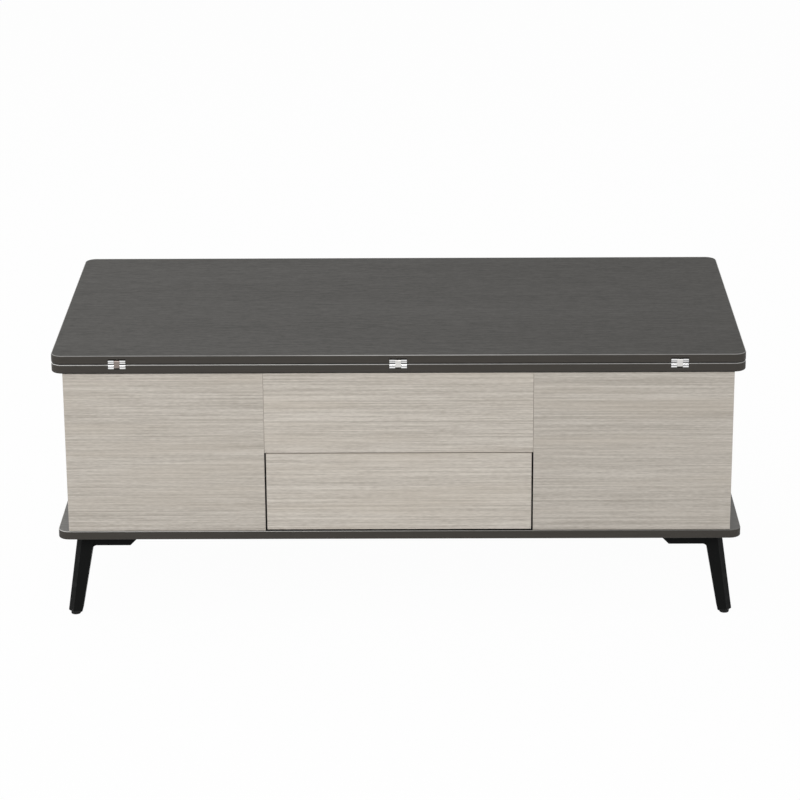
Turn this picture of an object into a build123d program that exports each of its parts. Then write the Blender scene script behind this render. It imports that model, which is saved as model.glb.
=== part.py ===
from build123d import *
import math
import os

# A coffee table whose two stacked leaves lift on a pair of parallelogram linkages and unfold to a dining top.
# Millimetres, X along the length, -Y to the front, Z up, origin on the floor under the middle of the table.

os.makedirs("parts", exist_ok=True)

# Top leaves and base plate
TOP_LENGTH = 1200.0
TOP_DEPTH = 600.0
LEAF_THICK = 16.0
PLATE_THICK = 15.0
PLAN_CORNER = 20.0
EDGE_ROUND = 2.5
PLATE_EASE = 1.2
SEAM_GAP = 0.5
LID_GAP = 1.0
BUMPER_RADIUS = 4.0
BUMPER_INSET = 90.0

# Carcass boards
LEG_HEIGHT = 149.0
CARCASS_HEIGHT = 291.0
BOARD = 16.0
END_OVERHANG = 20.0
FRONT_REVEAL = 3.0
CENTRE_WIDTH = 468.0
PANEL_GAP = 0.3
EDGE_EASE = 0.6

# Legs, cast with a mounting arm along each edge of the plate
LEG_TOP_INSET = 31.0
LEG_FOOT_INSET = 11.0
LEG_TOP_WIDTH = 31.0
LEG_FOOT_WIDTH = 25.0
LEG_CHAMFER = 9.0
LEG_FOOT_BEVEL = 2.0
ARM_REACH = 116.0
ARM_HEIGHT = 23.0
ARM_WIDTH = 22.0
ARM_FILLET = 8.0
ARM_SCREW_NEAR = 45.0
ARM_SCREW_PITCH = 32.0
ARM_BORE_DEPTH = 10.0
GLIDE_HEIGHT = 6.0
GLIDE_RADIUS = 8.5
GLIDE_EASE = 1.2

# Wood screws
SCREW_RADIUS = 2.0
SCREW_HEAD_RADIUS = 3.6
SCREW_HEAD = 1.4
SCREW_LENGTH = 10.0
SCREW_BITE = 11.0
SCREW_FIT = 0.1
PILOT_END = 0.5

# Drawer box and its opening
DRAWER_OPENING = 145.0
DRAWER_SIDE_GAP = 2.5
DRAWER_TOP_GAP = 1.5
DRAWER_FOOT_GAP = 2.0
SHELF_RISE = 3.0
DRAWER_WALL = 12.0
DRAWER_FLOOR = 5.0
DRAWER_FLOOR_RISE = 10.0
GROOVE_DEPTH = 5.0
GROOVE_FIT = 0.2
BOX_FOOT_GAP = 14.0
BOX_TOP_GAP = 19.0

# Telescopic slides, three nested channels a side
SLIDE_SPACE = 13.0
SLIDE_HEIGHT = 45.0
SLIDE_STEEL = 1.2
SLIDE_RUN = 0.5
SLIDE_HEAD_ROOM = 1.8
SLIDE_LIP = 1.2
SLIDE_END_GAP = 2.0
SLIDE_SCREW_INSET = 45.0
SLIDE_SCREWS = 3

# Push latch behind the drawer
LATCH_LENGTH = 64.0
LATCH_WALL_GAP = 40.0
LATCH_RADIUS = 9.0
LATCH_FOOT_WIDTH = 40.0
LATCH_FOOT_THICK = 4.0
LATCH_RIB = 8.0
LATCH_SCREW_EDGE = 6.0
LATCH_SCREW_INSET = 14.0
PLUNGER_RADIUS = 5.0
PLUNGER_SHOW = 7.0
PLUNGER_INSIDE = 40.0
PLUNGER_TRAVEL = 3.0
PLUNGER_FIT = 0.1
PLUNGER_EASE = 1.0
STRIKE_SIZE = 16.0
STRIKE_RISE = 10.0
STRIKE_THICK = 1.0
STRIKE_GAP = 0.5

# Lift linkage, in planes counted inwards from the end panels
ARM_LENGTH = 280.0
PIVOT_SPACING = 50.0
PIVOT_SLOPE = 45.0
PIVOT_CLEAR = 2.5
PIVOT_FRONT = 46.0
LIFT_STEEL = 2.5
LIFT_ARM_WIDTH = 24.0
LIFT_ARM_DEPTH = 10.0
PIN_RADIUS = 4.0
PIN_FIT = 0.05
PIN_HEAD_RADIUS = 6.5
PIN_HEAD = 2.3
PIN_COLLAR = 0.9
PIN_PLAY = 0.1
BRACKET_RIM = 17.0
BRACKET_TAB = 9.0
RAIL_CLEAR = 0.6
RAIL_RIM = 14.0
RAIL_FRONT = 25.0
RAIL_WEB_GAP = 40.0
RAIL_WEB_HEIGHT = 20.0
RAIL_REAR_GAP = 110.0
RAIL_FLANGE_WIDTH = 30.0
RAIL_FLANGE_CORNER = 4.0
RAIL_SCREW_EDGE = 8.0
RAIL_SCREW_INSET = 20.0
RAIL_SCREWS = 5

# Gas springs, one a side, between the base bracket and the front arm
GAS_REACH = 140.0
GAS_ANCHOR_ANGLE = 260.0
GAS_SIDE_GAP = 2.0
GAS_EYE_RADIUS = 9.0
GAS_EYE_THICK = 8.0
GAS_EYE_REACH = 14.0
GAS_NECK_RADIUS = 3.8
GAS_TUBE_RADIUS = 9.0
GAS_TUBE_WALL = 2.0
GAS_CAP = 6.0
GAS_GLAND = 8.0
GAS_ROD_RADIUS = 4.0
GAS_ROD_SHOW = 16.0
GAS_PISTON = 8.0
GAS_FIT = 0.1
GAS_CLOSED_GAP = 4.0

# Fold hinges, two pins and a link each, let into the front edges of both leaves
HINGE_END_INSET = 115.0
HINGE_WIDTH = 30.0
HINGE_HEIGHT = 7.3
HINGE_DEPTH = 12.0
HINGE_SLOT_CLEAR = 0.8
HINGE_PIN_RADIUS = 1.1
MORTISE_ROOM = 2.4
MORTISE_LEDGE = 0.8
MORTISE_FIT = 0.5
LINK_WIDTH = 10.0
LINK_END_GAP = 0.15
LINK_FIT = 0.15

# Levels and faces that follow from the sizes above
floor_z = LEG_HEIGHT + PLATE_THICK
rim_z = floor_z + CARCASS_HEIGHT
lower_z = rim_z + LID_GAP
lower_top_z = lower_z + LEAF_THICK
seam_z = lower_top_z + SEAM_GAP / 2
upper_z = lower_top_z + SEAM_GAP
front_y = -TOP_DEPTH / 2
outer_x = TOP_LENGTH / 2 - END_OVERHANG
outer_y = TOP_DEPTH / 2 - FRONT_REVEAL
inner_x = outer_x - BOARD
inner_y = outer_y - BOARD
centre_x = CENTRE_WIDTH / 2
opening_z = floor_z + DRAWER_OPENING
shelf_z = opening_z + SHELF_RISE
hands = (("left", -1), ("right", 1))
corners = (("front_left", -1, -1), ("front_right", 1, -1), ("rear_left", -1, 1), ("rear_right", 1, 1))
pilot_radius = SCREW_RADIUS + SCREW_FIT
pin_bore = PIN_RADIUS + PIN_FIT
from_seat = (Align.CENTER, Align.CENTER, Align.MIN)
up_to_seat = (Align.CENTER, Align.CENTER, Align.MAX)


def keep(piece, name):
    """Labels a finished piece and writes it to its own file."""
    piece.part.label = name
    export_step(piece.part, f"parts/{name}.step")


def seats(points, direction):
    """Locations at the points, with local Z along the direction."""
    return [Plane(origin=point, z_dir=direction).location for point in points]


def inwards(side, depth, places):
    """Points in the plane that lies the given depth inside an end panel, at places given in Y and Z."""
    return [(side * (inner_x - depth), place.X, place.Y) for place in places]


def end_plane(side, depth):
    """The YZ plane that lies the given depth inside an end panel."""
    return Plane.YZ.offset(side * (inner_x - depth))


# Leg corners and screws: places for the front left leg, turned to the other corners by sign
leg_x = -TOP_LENGTH / 2 + LEG_TOP_INSET
leg_y = -TOP_DEPTH / 2 + LEG_TOP_INSET
arm_z = LEG_HEIGHT - ARM_HEIGHT
leg_screw_reach = [ARM_SCREW_NEAR + step * ARM_SCREW_PITCH for step in range(2)]
leg_screw_places = [(leg_x + reach, leg_y + ARM_WIDTH / 2) for reach in leg_screw_reach]
leg_screw_places += [(leg_x + ARM_WIDTH / 2, leg_y + reach) for reach in leg_screw_reach]
leg_screw_points = [
    (-side * x, -end * y, arm_z + ARM_BORE_DEPTH) for _, side, end in corners for x, y in leg_screw_places
]
leg_screw_length = ARM_HEIGHT - ARM_BORE_DEPTH + SCREW_BITE

# Drawer and latch places
box_x = centre_x - SLIDE_SPACE
box_z = floor_z + BOX_FOOT_GAP
box_height = opening_z - BOX_TOP_GAP - box_z
latch_front = inner_y - LATCH_WALL_GAP - LATCH_LENGTH
latch_middle = latch_front + LATCH_LENGTH / 2
latch_z = box_z + STRIKE_RISE
plunger_tip = latch_front - PLUNGER_SHOW
box_back = plunger_tip - STRIKE_GAP - STRIKE_THICK
box_length = box_back + inner_y
latch_screw_x = LATCH_FOOT_WIDTH / 2 - LATCH_SCREW_EDGE
latch_screw_y = LATCH_LENGTH / 2 - LATCH_SCREW_INSET
latch_screw_points = [
    (hand * latch_screw_x, latch_middle + hand * latch_screw_y, floor_z + LATCH_FOOT_THICK) for hand in (-1, 1)
]
floor_reach = box_x - DRAWER_WALL + GROOVE_DEPTH
floor_front = -inner_y - GROOVE_DEPTH
floor_back = box_back - DRAWER_WALL + GROOVE_DEPTH
groove_centre = (0, (floor_front + floor_back) / 2, box_z + DRAWER_FLOOR_RISE + DRAWER_FLOOR / 2)
groove_size = (2 * floor_reach, floor_back - floor_front, DRAWER_FLOOR + 2 * GROOVE_FIT)

# Slide sections: depth counted from the partition towards the drawer
slide_front = -inner_y + SLIDE_END_GAP
slide_length = box_back - slide_front
slide_z = box_z + box_height / 2
slide_step = SLIDE_STEEL + SLIDE_RUN
flange_end = SLIDE_SPACE - SLIDE_STEEL - SLIDE_LIP
middle_web = SLIDE_STEEL + SLIDE_HEAD_ROOM
slide_screw_pitch = (slide_length - 2 * SLIDE_SCREW_INSET) / (SLIDE_SCREWS - 1)
slide_screw_ys = [slide_front + SLIDE_SCREW_INSET + count * slide_screw_pitch for count in range(SLIDE_SCREWS)]

# Linkage pivots as places in Y and Z: top and base ends of both arms, and the gas spring's two eyes
pivot_drop = LIFT_STEEL + PIVOT_CLEAR + BRACKET_RIM
slope = math.radians(PIVOT_SLOPE)
pivot_offset = Vector(math.cos(slope), math.sin(slope)) * PIVOT_SPACING
front_top = Vector(-inner_y + PIVOT_FRONT, lower_z - pivot_drop - pivot_offset.Y)
rear_top = front_top + pivot_offset
front_base = front_top + Vector(ARM_LENGTH, 0)
rear_base = rear_top + Vector(ARM_LENGTH, 0)
anchor = math.radians(GAS_ANCHOR_ANGLE)
gas_base = front_base + Vector(math.cos(anchor), math.sin(anchor)) * GAS_REACH
gas_eye = front_base - Vector(GAS_REACH, 0)
gas_closed = (gas_eye - gas_base).length
gas_axis = (gas_eye - gas_base).normalized()
arm_plane = RAIL_CLEAR + LIFT_STEEL + PIN_COLLAR
gas_plane = arm_plane + LIFT_ARM_DEPTH + GAS_SIDE_GAP + GAS_TUBE_RADIUS
eye_near = gas_plane - GAS_EYE_THICK / 2 - PIN_PLAY
eye_far = gas_plane + GAS_EYE_THICK / 2 + PIN_PLAY
bracket_screws = (
    rear_base + Vector(BRACKET_RIM + BRACKET_TAB, -BRACKET_TAB),
    rear_base - Vector(0, GAS_REACH / 2),
    gas_base + Vector(-BRACKET_RIM, BRACKET_RIM),
    gas_base + Vector(BRACKET_RIM, -BRACKET_TAB),
)
rail_front = front_top.X - RAIL_FRONT
rail_web = front_base.X - RAIL_WEB_GAP - rail_front
rail_flange = inner_y - RAIL_REAR_GAP - rail_front
rail_screw_depth = RAIL_CLEAR + RAIL_FLANGE_WIDTH - RAIL_SCREW_EDGE
rail_screw_pitch = (rail_flange - 2 * RAIL_SCREW_INSET) / (RAIL_SCREWS - 1)
rail_screw_points = [
    (side * (inner_x - rail_screw_depth), rail_front + RAIL_SCREW_INSET + count * rail_screw_pitch, lower_z - LIFT_STEEL)
    for _, side in hands
    for count in range(RAIL_SCREWS)
]

# Hinge places: each pin lies one edge radius inside its leaf, so the rounded edges roll past each other
pin_y = front_y + EDGE_ROUND
pin_rise = EDGE_ROUND + SEAM_GAP / 2
link_height = 2 * (HINGE_HEIGHT - LINK_END_GAP) + SEAM_GAP
hinge_slot = EDGE_ROUND + link_height / 2 - pin_rise + EDGE_ROUND + HINGE_SLOT_CLEAR
hinge_x = TOP_LENGTH / 2 - HINGE_END_INSET
hinges = (("left_hinge", -hinge_x), ("middle_hinge", 0), ("right_hinge", hinge_x))
hinge_bore = HINGE_PIN_RADIUS + PIN_FIT

# Base plate, drilled below for the legs and above for the latch
with BuildPart() as base_plate:
    with BuildSketch(Plane.XY.offset(LEG_HEIGHT)):
        RectangleRounded(TOP_LENGTH, TOP_DEPTH, PLAN_CORNER)
    extrude(amount=PLATE_THICK)
    rims = base_plate.edges().group_by(Axis.Z)
    fillet(rims[0] + rims[-1], PLATE_EASE)
    with Locations(*seats(leg_screw_points, (0, 0, -1))):
        Hole(pilot_radius, leg_screw_length + PILOT_END)
    with Locations(*seats(latch_screw_points, (0, 0, 1))):
        Hole(pilot_radius, SCREW_LENGTH + PILOT_END)
keep(base_plate, "base_plate")

# End panels, drilled inside for the lift brackets
for hand, side in hands:
    with BuildPart() as end_panel:
        with BuildSketch(Plane.XY.offset(floor_z)):
            with Locations((side * (outer_x - BOARD / 2), 0)):
                Rectangle(BOARD, 2 * inner_y)
        extrude(amount=CARCASS_HEIGHT)
        with Locations(*seats(inwards(side, LIFT_STEEL, bracket_screws), (-side, 0, 0))):
            Hole(pilot_radius, SCREW_LENGTH + PILOT_END)
    keep(end_panel, f"{hand}_end_panel")

# Tall front panels, which cover the end panels' front edges
for hand, side in hands:
    with BuildPart() as front_panel:
        with BuildSketch(Plane.XZ.offset(inner_y)):
            with Locations((side * (centre_x + outer_x) / 2, floor_z + CARCASS_HEIGHT / 2)):
                Rectangle(outer_x - centre_x, CARCASS_HEIGHT)
        extrude(amount=BOARD)
        fillet(front_panel.faces().sort_by(Axis.Y)[0].edges(), EDGE_EASE)
    keep(front_panel, f"front_{hand}_panel")

# Fixed front panel above the drawer
with BuildPart() as centre_panel:
    with BuildSketch(Plane.XZ.offset(inner_y)):
        with Locations((0, (opening_z + rim_z) / 2)):
            Rectangle(CENTRE_WIDTH - 2 * PANEL_GAP, rim_z - opening_z)
    extrude(amount=BOARD)
    fillet(centre_panel.faces().sort_by(Axis.Y)[0].edges(), EDGE_EASE)
keep(centre_panel, "front_centre_panel")

# Plain back panel
with BuildPart() as back_panel:
    with BuildSketch(Plane.XZ.offset(-outer_y)):
        with Locations((0, floor_z + CARCASS_HEIGHT / 2)):
            Rectangle(2 * outer_x, CARCASS_HEIGHT)
    extrude(amount=BOARD)
    fillet(back_panel.faces().sort_by(Axis.Y)[-1].edges(), EDGE_EASE)
keep(back_panel, "back_panel")

# Partitions, drilled for the slides
for hand, side in hands:
    slide_screw_points = [(side * (centre_x - SLIDE_STEEL), y, slide_z) for y in slide_screw_ys]
    with BuildPart() as partition:
        with BuildSketch(Plane.XY.offset(floor_z)):
            with Locations((side * (centre_x + BOARD / 2), 0)):
                Rectangle(BOARD, 2 * inner_y)
        extrude(amount=CARCASS_HEIGHT)
        with Locations(*seats(slide_screw_points, (-side, 0, 0))):
            Hole(pilot_radius, SCREW_LENGTH + PILOT_END)
    keep(partition, f"{hand}_partition")

# Shelf over the drawer, the floor of the middle compartment
with BuildPart() as centre_shelf:
    with BuildSketch(Plane.XY.offset(shelf_z)):
        Rectangle(CENTRE_WIDTH, 2 * inner_y)
    extrude(amount=BOARD)
keep(centre_shelf, "centre_shelf")

# Bumpers on the carcass rim, under the lower leaf
bumper_points = []
for side in (-1, 1):
    for end in (-1, 1):
        bumper_points.append((side * (outer_x - BOARD / 2), end * (inner_y - BUMPER_INSET), rim_z))
        bumper_points.append((side * (outer_x - BUMPER_INSET), end * (outer_y - BOARD / 2), rim_z))
with BuildPart() as lid_bumpers:
    with Locations(*bumper_points):
        Cylinder(BUMPER_RADIUS, LID_GAP, align=from_seat)
keep(lid_bumpers, "lid_bumpers")

# Front left leg: a tapering splayed post with its outer corner cut off, and two arms with slanted ends
with BuildPart() as leg:
    for level, inset, width in (
        (GLIDE_HEIGHT, LEG_FOOT_INSET, LEG_FOOT_WIDTH),
        (LEG_HEIGHT, LEG_TOP_INSET, LEG_TOP_WIDTH),
    ):
        with BuildSketch(Plane.XY.offset(level)) as section:
            with Locations((inset + width / 2 - TOP_LENGTH / 2, inset + width / 2 - TOP_DEPTH / 2)):
                Rectangle(width, width)
            chamfer(section.vertices().group_by(Axis.X)[0].sort_by(Axis.Y)[0], LEG_CHAMFER)
    loft(ruled=True)
    chamfer(leg.faces().sort_by(Axis.Z)[0].edges(), LEG_FOOT_BEVEL)
    for plane, start, thickness in (
        (Plane.XZ.offset(-leg_y), leg_x, -ARM_WIDTH),
        (Plane.YZ.offset(leg_x), leg_y, ARM_WIDTH),
    ):
        with BuildSketch(plane):
            with BuildLine():
                Polyline(
                    (start + LEG_TOP_WIDTH / 2, LEG_HEIGHT),
                    (start + ARM_REACH, LEG_HEIGHT),
                    (start + ARM_REACH - ARM_HEIGHT, arm_z),
                    (start + LEG_TOP_WIDTH / 2, arm_z),
                    close=True,
                )
            make_face()
        extrude(amount=thickness)
    taper = ARM_HEIGHT / (LEG_HEIGHT - GLIDE_HEIGHT)
    inner_top = LEG_TOP_INSET + LEG_TOP_WIDTH
    inner_foot = LEG_FOOT_INSET + LEG_FOOT_WIDTH
    crotch = inner_top + (inner_foot - inner_top) * taper
    under_x = leg.edges().sort_by_distance((crotch - TOP_LENGTH / 2, leg_y + ARM_WIDTH / 2, arm_z))[0]
    under_y = leg.edges().sort_by_distance((leg_x + ARM_WIDTH / 2, crotch - TOP_DEPTH / 2, arm_z))[0]
    fillet([under_x, under_y], ARM_FILLET)
    with Locations(*seats([(x, y, arm_z) for x, y in leg_screw_places], (0, 0, -1))):
        CounterBoreHole(pilot_radius, SCREW_HEAD_RADIUS + SCREW_FIT, ARM_BORE_DEPTH)
keep(leg, "front_left_leg")

# The other three legs mirror it
with BuildPart() as front_right_leg:
    mirror(leg.part, about=Plane.YZ)
keep(front_right_leg, "front_right_leg")
for hand, front_leg in (("left", leg), ("right", front_right_leg)):
    with BuildPart() as rear_leg:
        mirror(front_leg.part, about=Plane.XZ)
    keep(rear_leg, f"rear_{hand}_leg")

# Glides under the legs
glide_x = TOP_LENGTH / 2 - LEG_FOOT_INSET - LEG_FOOT_WIDTH / 2
glide_y = TOP_DEPTH / 2 - LEG_FOOT_INSET - LEG_FOOT_WIDTH / 2
with BuildPart() as leg_glides:
    with Locations(*[(side * glide_x, end * glide_y) for _, side, end in corners]):
        Cylinder(GLIDE_RADIUS, GLIDE_HEIGHT, align=from_seat)
    fillet(leg_glides.edges().group_by(Axis.Z)[0], GLIDE_EASE)
keep(leg_glides, "leg_glides")

# Screws of everything fixed: legs, latch, slides and lift brackets
with BuildPart() as cabinet_screws:
    with Locations(*seats(leg_screw_points, (0, 0, 1))):
        Cylinder(SCREW_RADIUS, leg_screw_length, align=from_seat)
        Cylinder(SCREW_HEAD_RADIUS, SCREW_HEAD, align=up_to_seat)
    screw_seats = seats(latch_screw_points, (0, 0, -1))
    for _, side in hands:
        screw_seats += seats([(side * (centre_x - SLIDE_STEEL), y, slide_z) for y in slide_screw_ys], (side, 0, 0))
        screw_seats += seats(inwards(side, LIFT_STEEL, bracket_screws), (side, 0, 0))
    with Locations(*screw_seats):
        Cylinder(SCREW_RADIUS, SCREW_LENGTH, align=from_seat)
        Cylinder(SCREW_HEAD_RADIUS, SCREW_HEAD, align=up_to_seat)
keep(cabinet_screws, "cabinet_screws")

# Drawer front, flush with the panels, grooved inside for the drawer's floor
with BuildPart() as drawer_front:
    with BuildSketch(Plane.XZ.offset(inner_y)):
        with Locations((0, (floor_z + DRAWER_FOOT_GAP + opening_z - DRAWER_TOP_GAP) / 2)):
            Rectangle(CENTRE_WIDTH - 2 * DRAWER_SIDE_GAP, DRAWER_OPENING - DRAWER_FOOT_GAP - DRAWER_TOP_GAP)
    extrude(amount=BOARD)
    fillet(drawer_front.faces().sort_by(Axis.Y)[0].edges(), EDGE_EASE)
    with Locations(groove_centre):
        Box(*groove_size, mode=Mode.SUBTRACT)
keep(drawer_front, "drawer_front")

# Drawer sides, drilled for the slides
for hand, side in hands:
    drawer_screw_points = [(side * (box_x + SLIDE_STEEL), y, slide_z) for y in slide_screw_ys]
    with BuildPart() as drawer_side:
        with BuildSketch(Plane.XY.offset(box_z)):
            with Locations((side * (box_x - DRAWER_WALL / 2), box_back - box_length / 2)):
                Rectangle(DRAWER_WALL, box_length)
        extrude(amount=box_height)
        with Locations(groove_centre):
            Box(*groove_size, mode=Mode.SUBTRACT)
        with Locations(*seats(drawer_screw_points, (side, 0, 0))):
            Hole(pilot_radius, SCREW_LENGTH + PILOT_END)
    keep(drawer_side, f"drawer_{hand}_side")

# Drawer back
with BuildPart() as drawer_back:
    with BuildSketch(Plane.XY.offset(box_z)):
        with Locations((0, box_back - DRAWER_WALL / 2)):
            Rectangle(2 * (box_x - DRAWER_WALL), DRAWER_WALL)
    extrude(amount=box_height)
    with Locations(groove_centre):
        Box(*groove_size, mode=Mode.SUBTRACT)
keep(drawer_back, "drawer_back")

# Drawer floor, held in the grooves
with BuildPart() as drawer_bottom:
    with Locations(groove_centre):
        Box(groove_size[0] - 2 * GROOVE_FIT, groove_size[1] - 2 * GROOVE_FIT, DRAWER_FLOOR)
keep(drawer_bottom, "drawer_bottom")

# Slide channels: web depth and flange depth from the partition, and half height
slide_channels = (
    ("cabinet_rail", 0, flange_end, SLIDE_HEIGHT / 2),
    ("middle_rail", middle_web, flange_end, SLIDE_HEIGHT / 2 - slide_step),
    ("drawer_rail", SLIDE_SPACE, middle_web + slide_step, SLIDE_HEIGHT / 2 - 2 * slide_step),
)
for hand, side in hands:
    for name, web, tip, half in slide_channels:
        middle = side * (centre_x - (web + tip) / 2)
        shift = math.copysign(SLIDE_STEEL, web - tip) * side
        screws_at = SLIDE_STEEL if web < tip else SLIDE_SPACE - SLIDE_STEEL
        rail_points = [(side * (centre_x - screws_at), y, slide_z) for y in slide_screw_ys]
        with BuildPart() as slide_rail:
            with BuildSketch(Plane.XZ.offset(-slide_front)):
                with Locations((middle, slide_z)):
                    Rectangle(abs(tip - web), 2 * half)
                with Locations((middle + shift, slide_z)):
                    Rectangle(abs(tip - web), 2 * (half - SLIDE_STEEL), mode=Mode.SUBTRACT)
            extrude(amount=-slide_length)
            if name != "middle_rail":
                with Locations(*seats(rail_points, (side if web > tip else -side, 0, 0))):
                    Cylinder(pilot_radius, 2 * SLIDE_STEEL, mode=Mode.SUBTRACT)
        keep(slide_rail, f"{hand}_slide_{name}")

# Screws that hold the slides to the drawer
with BuildPart() as drawer_screws:
    for _, side in hands:
        with Locations(*seats([(side * (box_x + SLIDE_STEEL), y, slide_z) for y in slide_screw_ys], (-side, 0, 0))):
            Cylinder(SCREW_RADIUS, SCREW_LENGTH, align=from_seat)
            Cylinder(SCREW_HEAD_RADIUS, SCREW_HEAD, align=up_to_seat)
keep(drawer_screws, "drawer_screws")

# Push latch: a barrel on a screwed foot, with a plunger that meets a plate on the drawer's back
with BuildPart() as latch_housing:
    with Locations((0, latch_middle, floor_z)):
        Box(LATCH_FOOT_WIDTH, LATCH_LENGTH, LATCH_FOOT_THICK, align=from_seat)
        Box(LATCH_RIB, LATCH_LENGTH, latch_z - floor_z, align=from_seat)
    with Locations(*seats([(0, latch_front, latch_z)], (0, 1, 0))):
        Cylinder(LATCH_RADIUS, LATCH_LENGTH, align=from_seat)
    with Locations(*seats([(0, latch_front, latch_z)], (0, -1, 0))):
        Hole(PLUNGER_RADIUS + PLUNGER_FIT, PLUNGER_INSIDE + 2 * PLUNGER_TRAVEL)
    with Locations(*seats(latch_screw_points, (0, 0, 1))):
        Hole(pilot_radius)
keep(latch_housing, "push_latch_housing")
with BuildPart() as latch_plunger:
    with Locations(*seats([(0, plunger_tip, latch_z)], (0, 1, 0))):
        Cylinder(PLUNGER_RADIUS, PLUNGER_SHOW + PLUNGER_INSIDE, align=from_seat)
    fillet(latch_plunger.edges().group_by(Axis.Y)[0], PLUNGER_EASE)
keep(latch_plunger, "push_latch_plunger")
with BuildPart() as strike_plate:
    with Locations((0, box_back + STRIKE_THICK / 2, latch_z)):
        Box(STRIKE_SIZE, STRIKE_THICK, STRIKE_SIZE)
keep(strike_plate, "latch_strike_plate")

# Lift base brackets: one plate round the two arm pivots, the gas spring's anchor and the screws
for hand, side in hands:
    with BuildPart() as base_bracket:
        with BuildSketch(end_plane(side, 0)):
            with Locations(front_base, rear_base, gas_base):
                Circle(BRACKET_RIM)
            with Locations(*bracket_screws):
                Circle(BRACKET_TAB)
            make_hull()
        extrude(amount=-side * LIFT_STEEL)
        with Locations(*seats(inwards(side, LIFT_STEEL, (front_base, rear_base, gas_base)), (-side, 0, 0))):
            Hole(pin_bore)
        with Locations(*seats(inwards(side, LIFT_STEEL, bracket_screws), (-side, 0, 0))):
            Hole(pilot_radius)
    keep(base_bracket, f"{hand}_lift_base_bracket")

# Top rails: a flange under the lower leaf and a web with a tab that drops to the arms' top pivots
for hand, side in hands:
    with BuildPart() as top_rail:
        with BuildSketch(end_plane(side, RAIL_CLEAR)):
            with Locations(front_top, rear_top):
                Circle(RAIL_RIM)
            with Locations(
                (rail_front + RAIL_WEB_HEIGHT / 2, lower_z - RAIL_WEB_HEIGHT / 2),
                (rear_top.X + 2 * RAIL_RIM, lower_z - RAIL_WEB_HEIGHT / 2),
            ):
                Circle(RAIL_WEB_HEIGHT / 2)
            make_hull()
            with Locations((rail_front + rail_web / 2, lower_z - RAIL_WEB_HEIGHT / 2)):
                Rectangle(rail_web, RAIL_WEB_HEIGHT)
        extrude(amount=-side * LIFT_STEEL)
        with BuildSketch(Plane.XY.offset(lower_z - LIFT_STEEL)):
            flange_x = side * (inner_x - RAIL_CLEAR - RAIL_FLANGE_WIDTH / 2)
            with Locations((flange_x, rail_front + rail_flange / 2)):
                RectangleRounded(RAIL_FLANGE_WIDTH, rail_flange, RAIL_FLANGE_CORNER)
        extrude(amount=LIFT_STEEL)
        with Locations(*seats(inwards(side, RAIL_CLEAR + LIFT_STEEL, (front_top, rear_top)), (-side, 0, 0))):
            Hole(pin_bore)
        with Locations(*seats([point for point in rail_screw_points if point[0] * side > 0], (0, 0, -1))):
            Hole(pilot_radius)
    keep(top_rail, f"{hand}_lift_top_rail")
with BuildPart() as rail_screws:
    with Locations(*seats(rail_screw_points, (0, 0, 1))):
        Cylinder(SCREW_RADIUS, SCREW_LENGTH, align=from_seat)
        Cylinder(SCREW_HEAD_RADIUS, SCREW_HEAD, align=up_to_seat)
keep(rail_screws, "rail_screws")

# Lift arms: pressed channels open to the inside; the front pair carries a stud for the gas spring
for hand, side in hands:
    for end, base, top in (("front", front_base, front_top), ("rear", rear_base, rear_top)):
        with BuildPart() as lift_arm:
            with BuildSketch(end_plane(side, arm_plane)):
                with Locations((base + top) / 2):
                    SlotCenterToCenter(ARM_LENGTH, LIFT_ARM_WIDTH)
            extrude(amount=-side * LIFT_ARM_DEPTH)
            with BuildSketch(end_plane(side, arm_plane + LIFT_STEEL)):
                with Locations((base + top) / 2):
                    SlotCenterToCenter(ARM_LENGTH, LIFT_ARM_WIDTH - 2 * LIFT_STEEL)
            extrude(amount=-side * LIFT_ARM_DEPTH, mode=Mode.SUBTRACT)
            with Locations(*seats(inwards(side, arm_plane + LIFT_STEEL, (base, top)), (-side, 0, 0))):
                Hole(pin_bore)
            if end == "front":
                for start, finish, radius in (
                    (arm_plane + LIFT_STEEL, eye_near, PIN_HEAD_RADIUS),
                    (eye_near, eye_far, PIN_RADIUS),
                    (eye_far, eye_far + PIN_HEAD, PIN_HEAD_RADIUS),
                ):
                    with Locations(*seats(inwards(side, start, (gas_eye,)), (-side, 0, 0))):
                        Cylinder(radius, finish - start, align=from_seat)
        keep(lift_arm, f"{hand}_{end}_lift_arm")

# Pivot pins: riveted into bracket or rail, with a collar that spaces the arm off and a formed head
pin_end = arm_plane + LIFT_STEEL + PIN_PLAY
arm_pin_steps = (
    (LIFT_STEEL, arm_plane - PIN_PLAY, PIN_HEAD_RADIUS),
    (pin_end, pin_end + PIN_HEAD, PIN_HEAD_RADIUS),
)
gas_pin_steps = (
    (LIFT_STEEL, eye_near, PIN_HEAD_RADIUS),
    (eye_far, eye_far + PIN_HEAD, PIN_HEAD_RADIUS),
)
with BuildPart() as base_pins:
    for _, side in hands:
        for places, length, steps in (
            ((front_base, rear_base), pin_end, arm_pin_steps),
            ((gas_base,), eye_far, gas_pin_steps),
        ):
            with Locations(*seats(inwards(side, 0, places), (-side, 0, 0))):
                Cylinder(PIN_RADIUS, length, align=from_seat)
            for start, finish, radius in steps:
                with Locations(*seats(inwards(side, start, places), (-side, 0, 0))):
                    Cylinder(radius, finish - start, align=from_seat)
keep(base_pins, "base_pivot_pins")
with BuildPart() as top_pins:
    for _, side in hands:
        for start, finish, radius in (
            (RAIL_CLEAR, pin_end, PIN_RADIUS),
            (RAIL_CLEAR + LIFT_STEEL, arm_plane - PIN_PLAY, PIN_HEAD_RADIUS),
            (pin_end, pin_end + PIN_HEAD, PIN_HEAD_RADIUS),
        ):
            with Locations(*seats(inwards(side, start, (front_top, rear_top)), (-side, 0, 0))):
                Cylinder(radius, finish - start, align=from_seat)
keep(top_pins, "top_pivot_pins")

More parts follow.
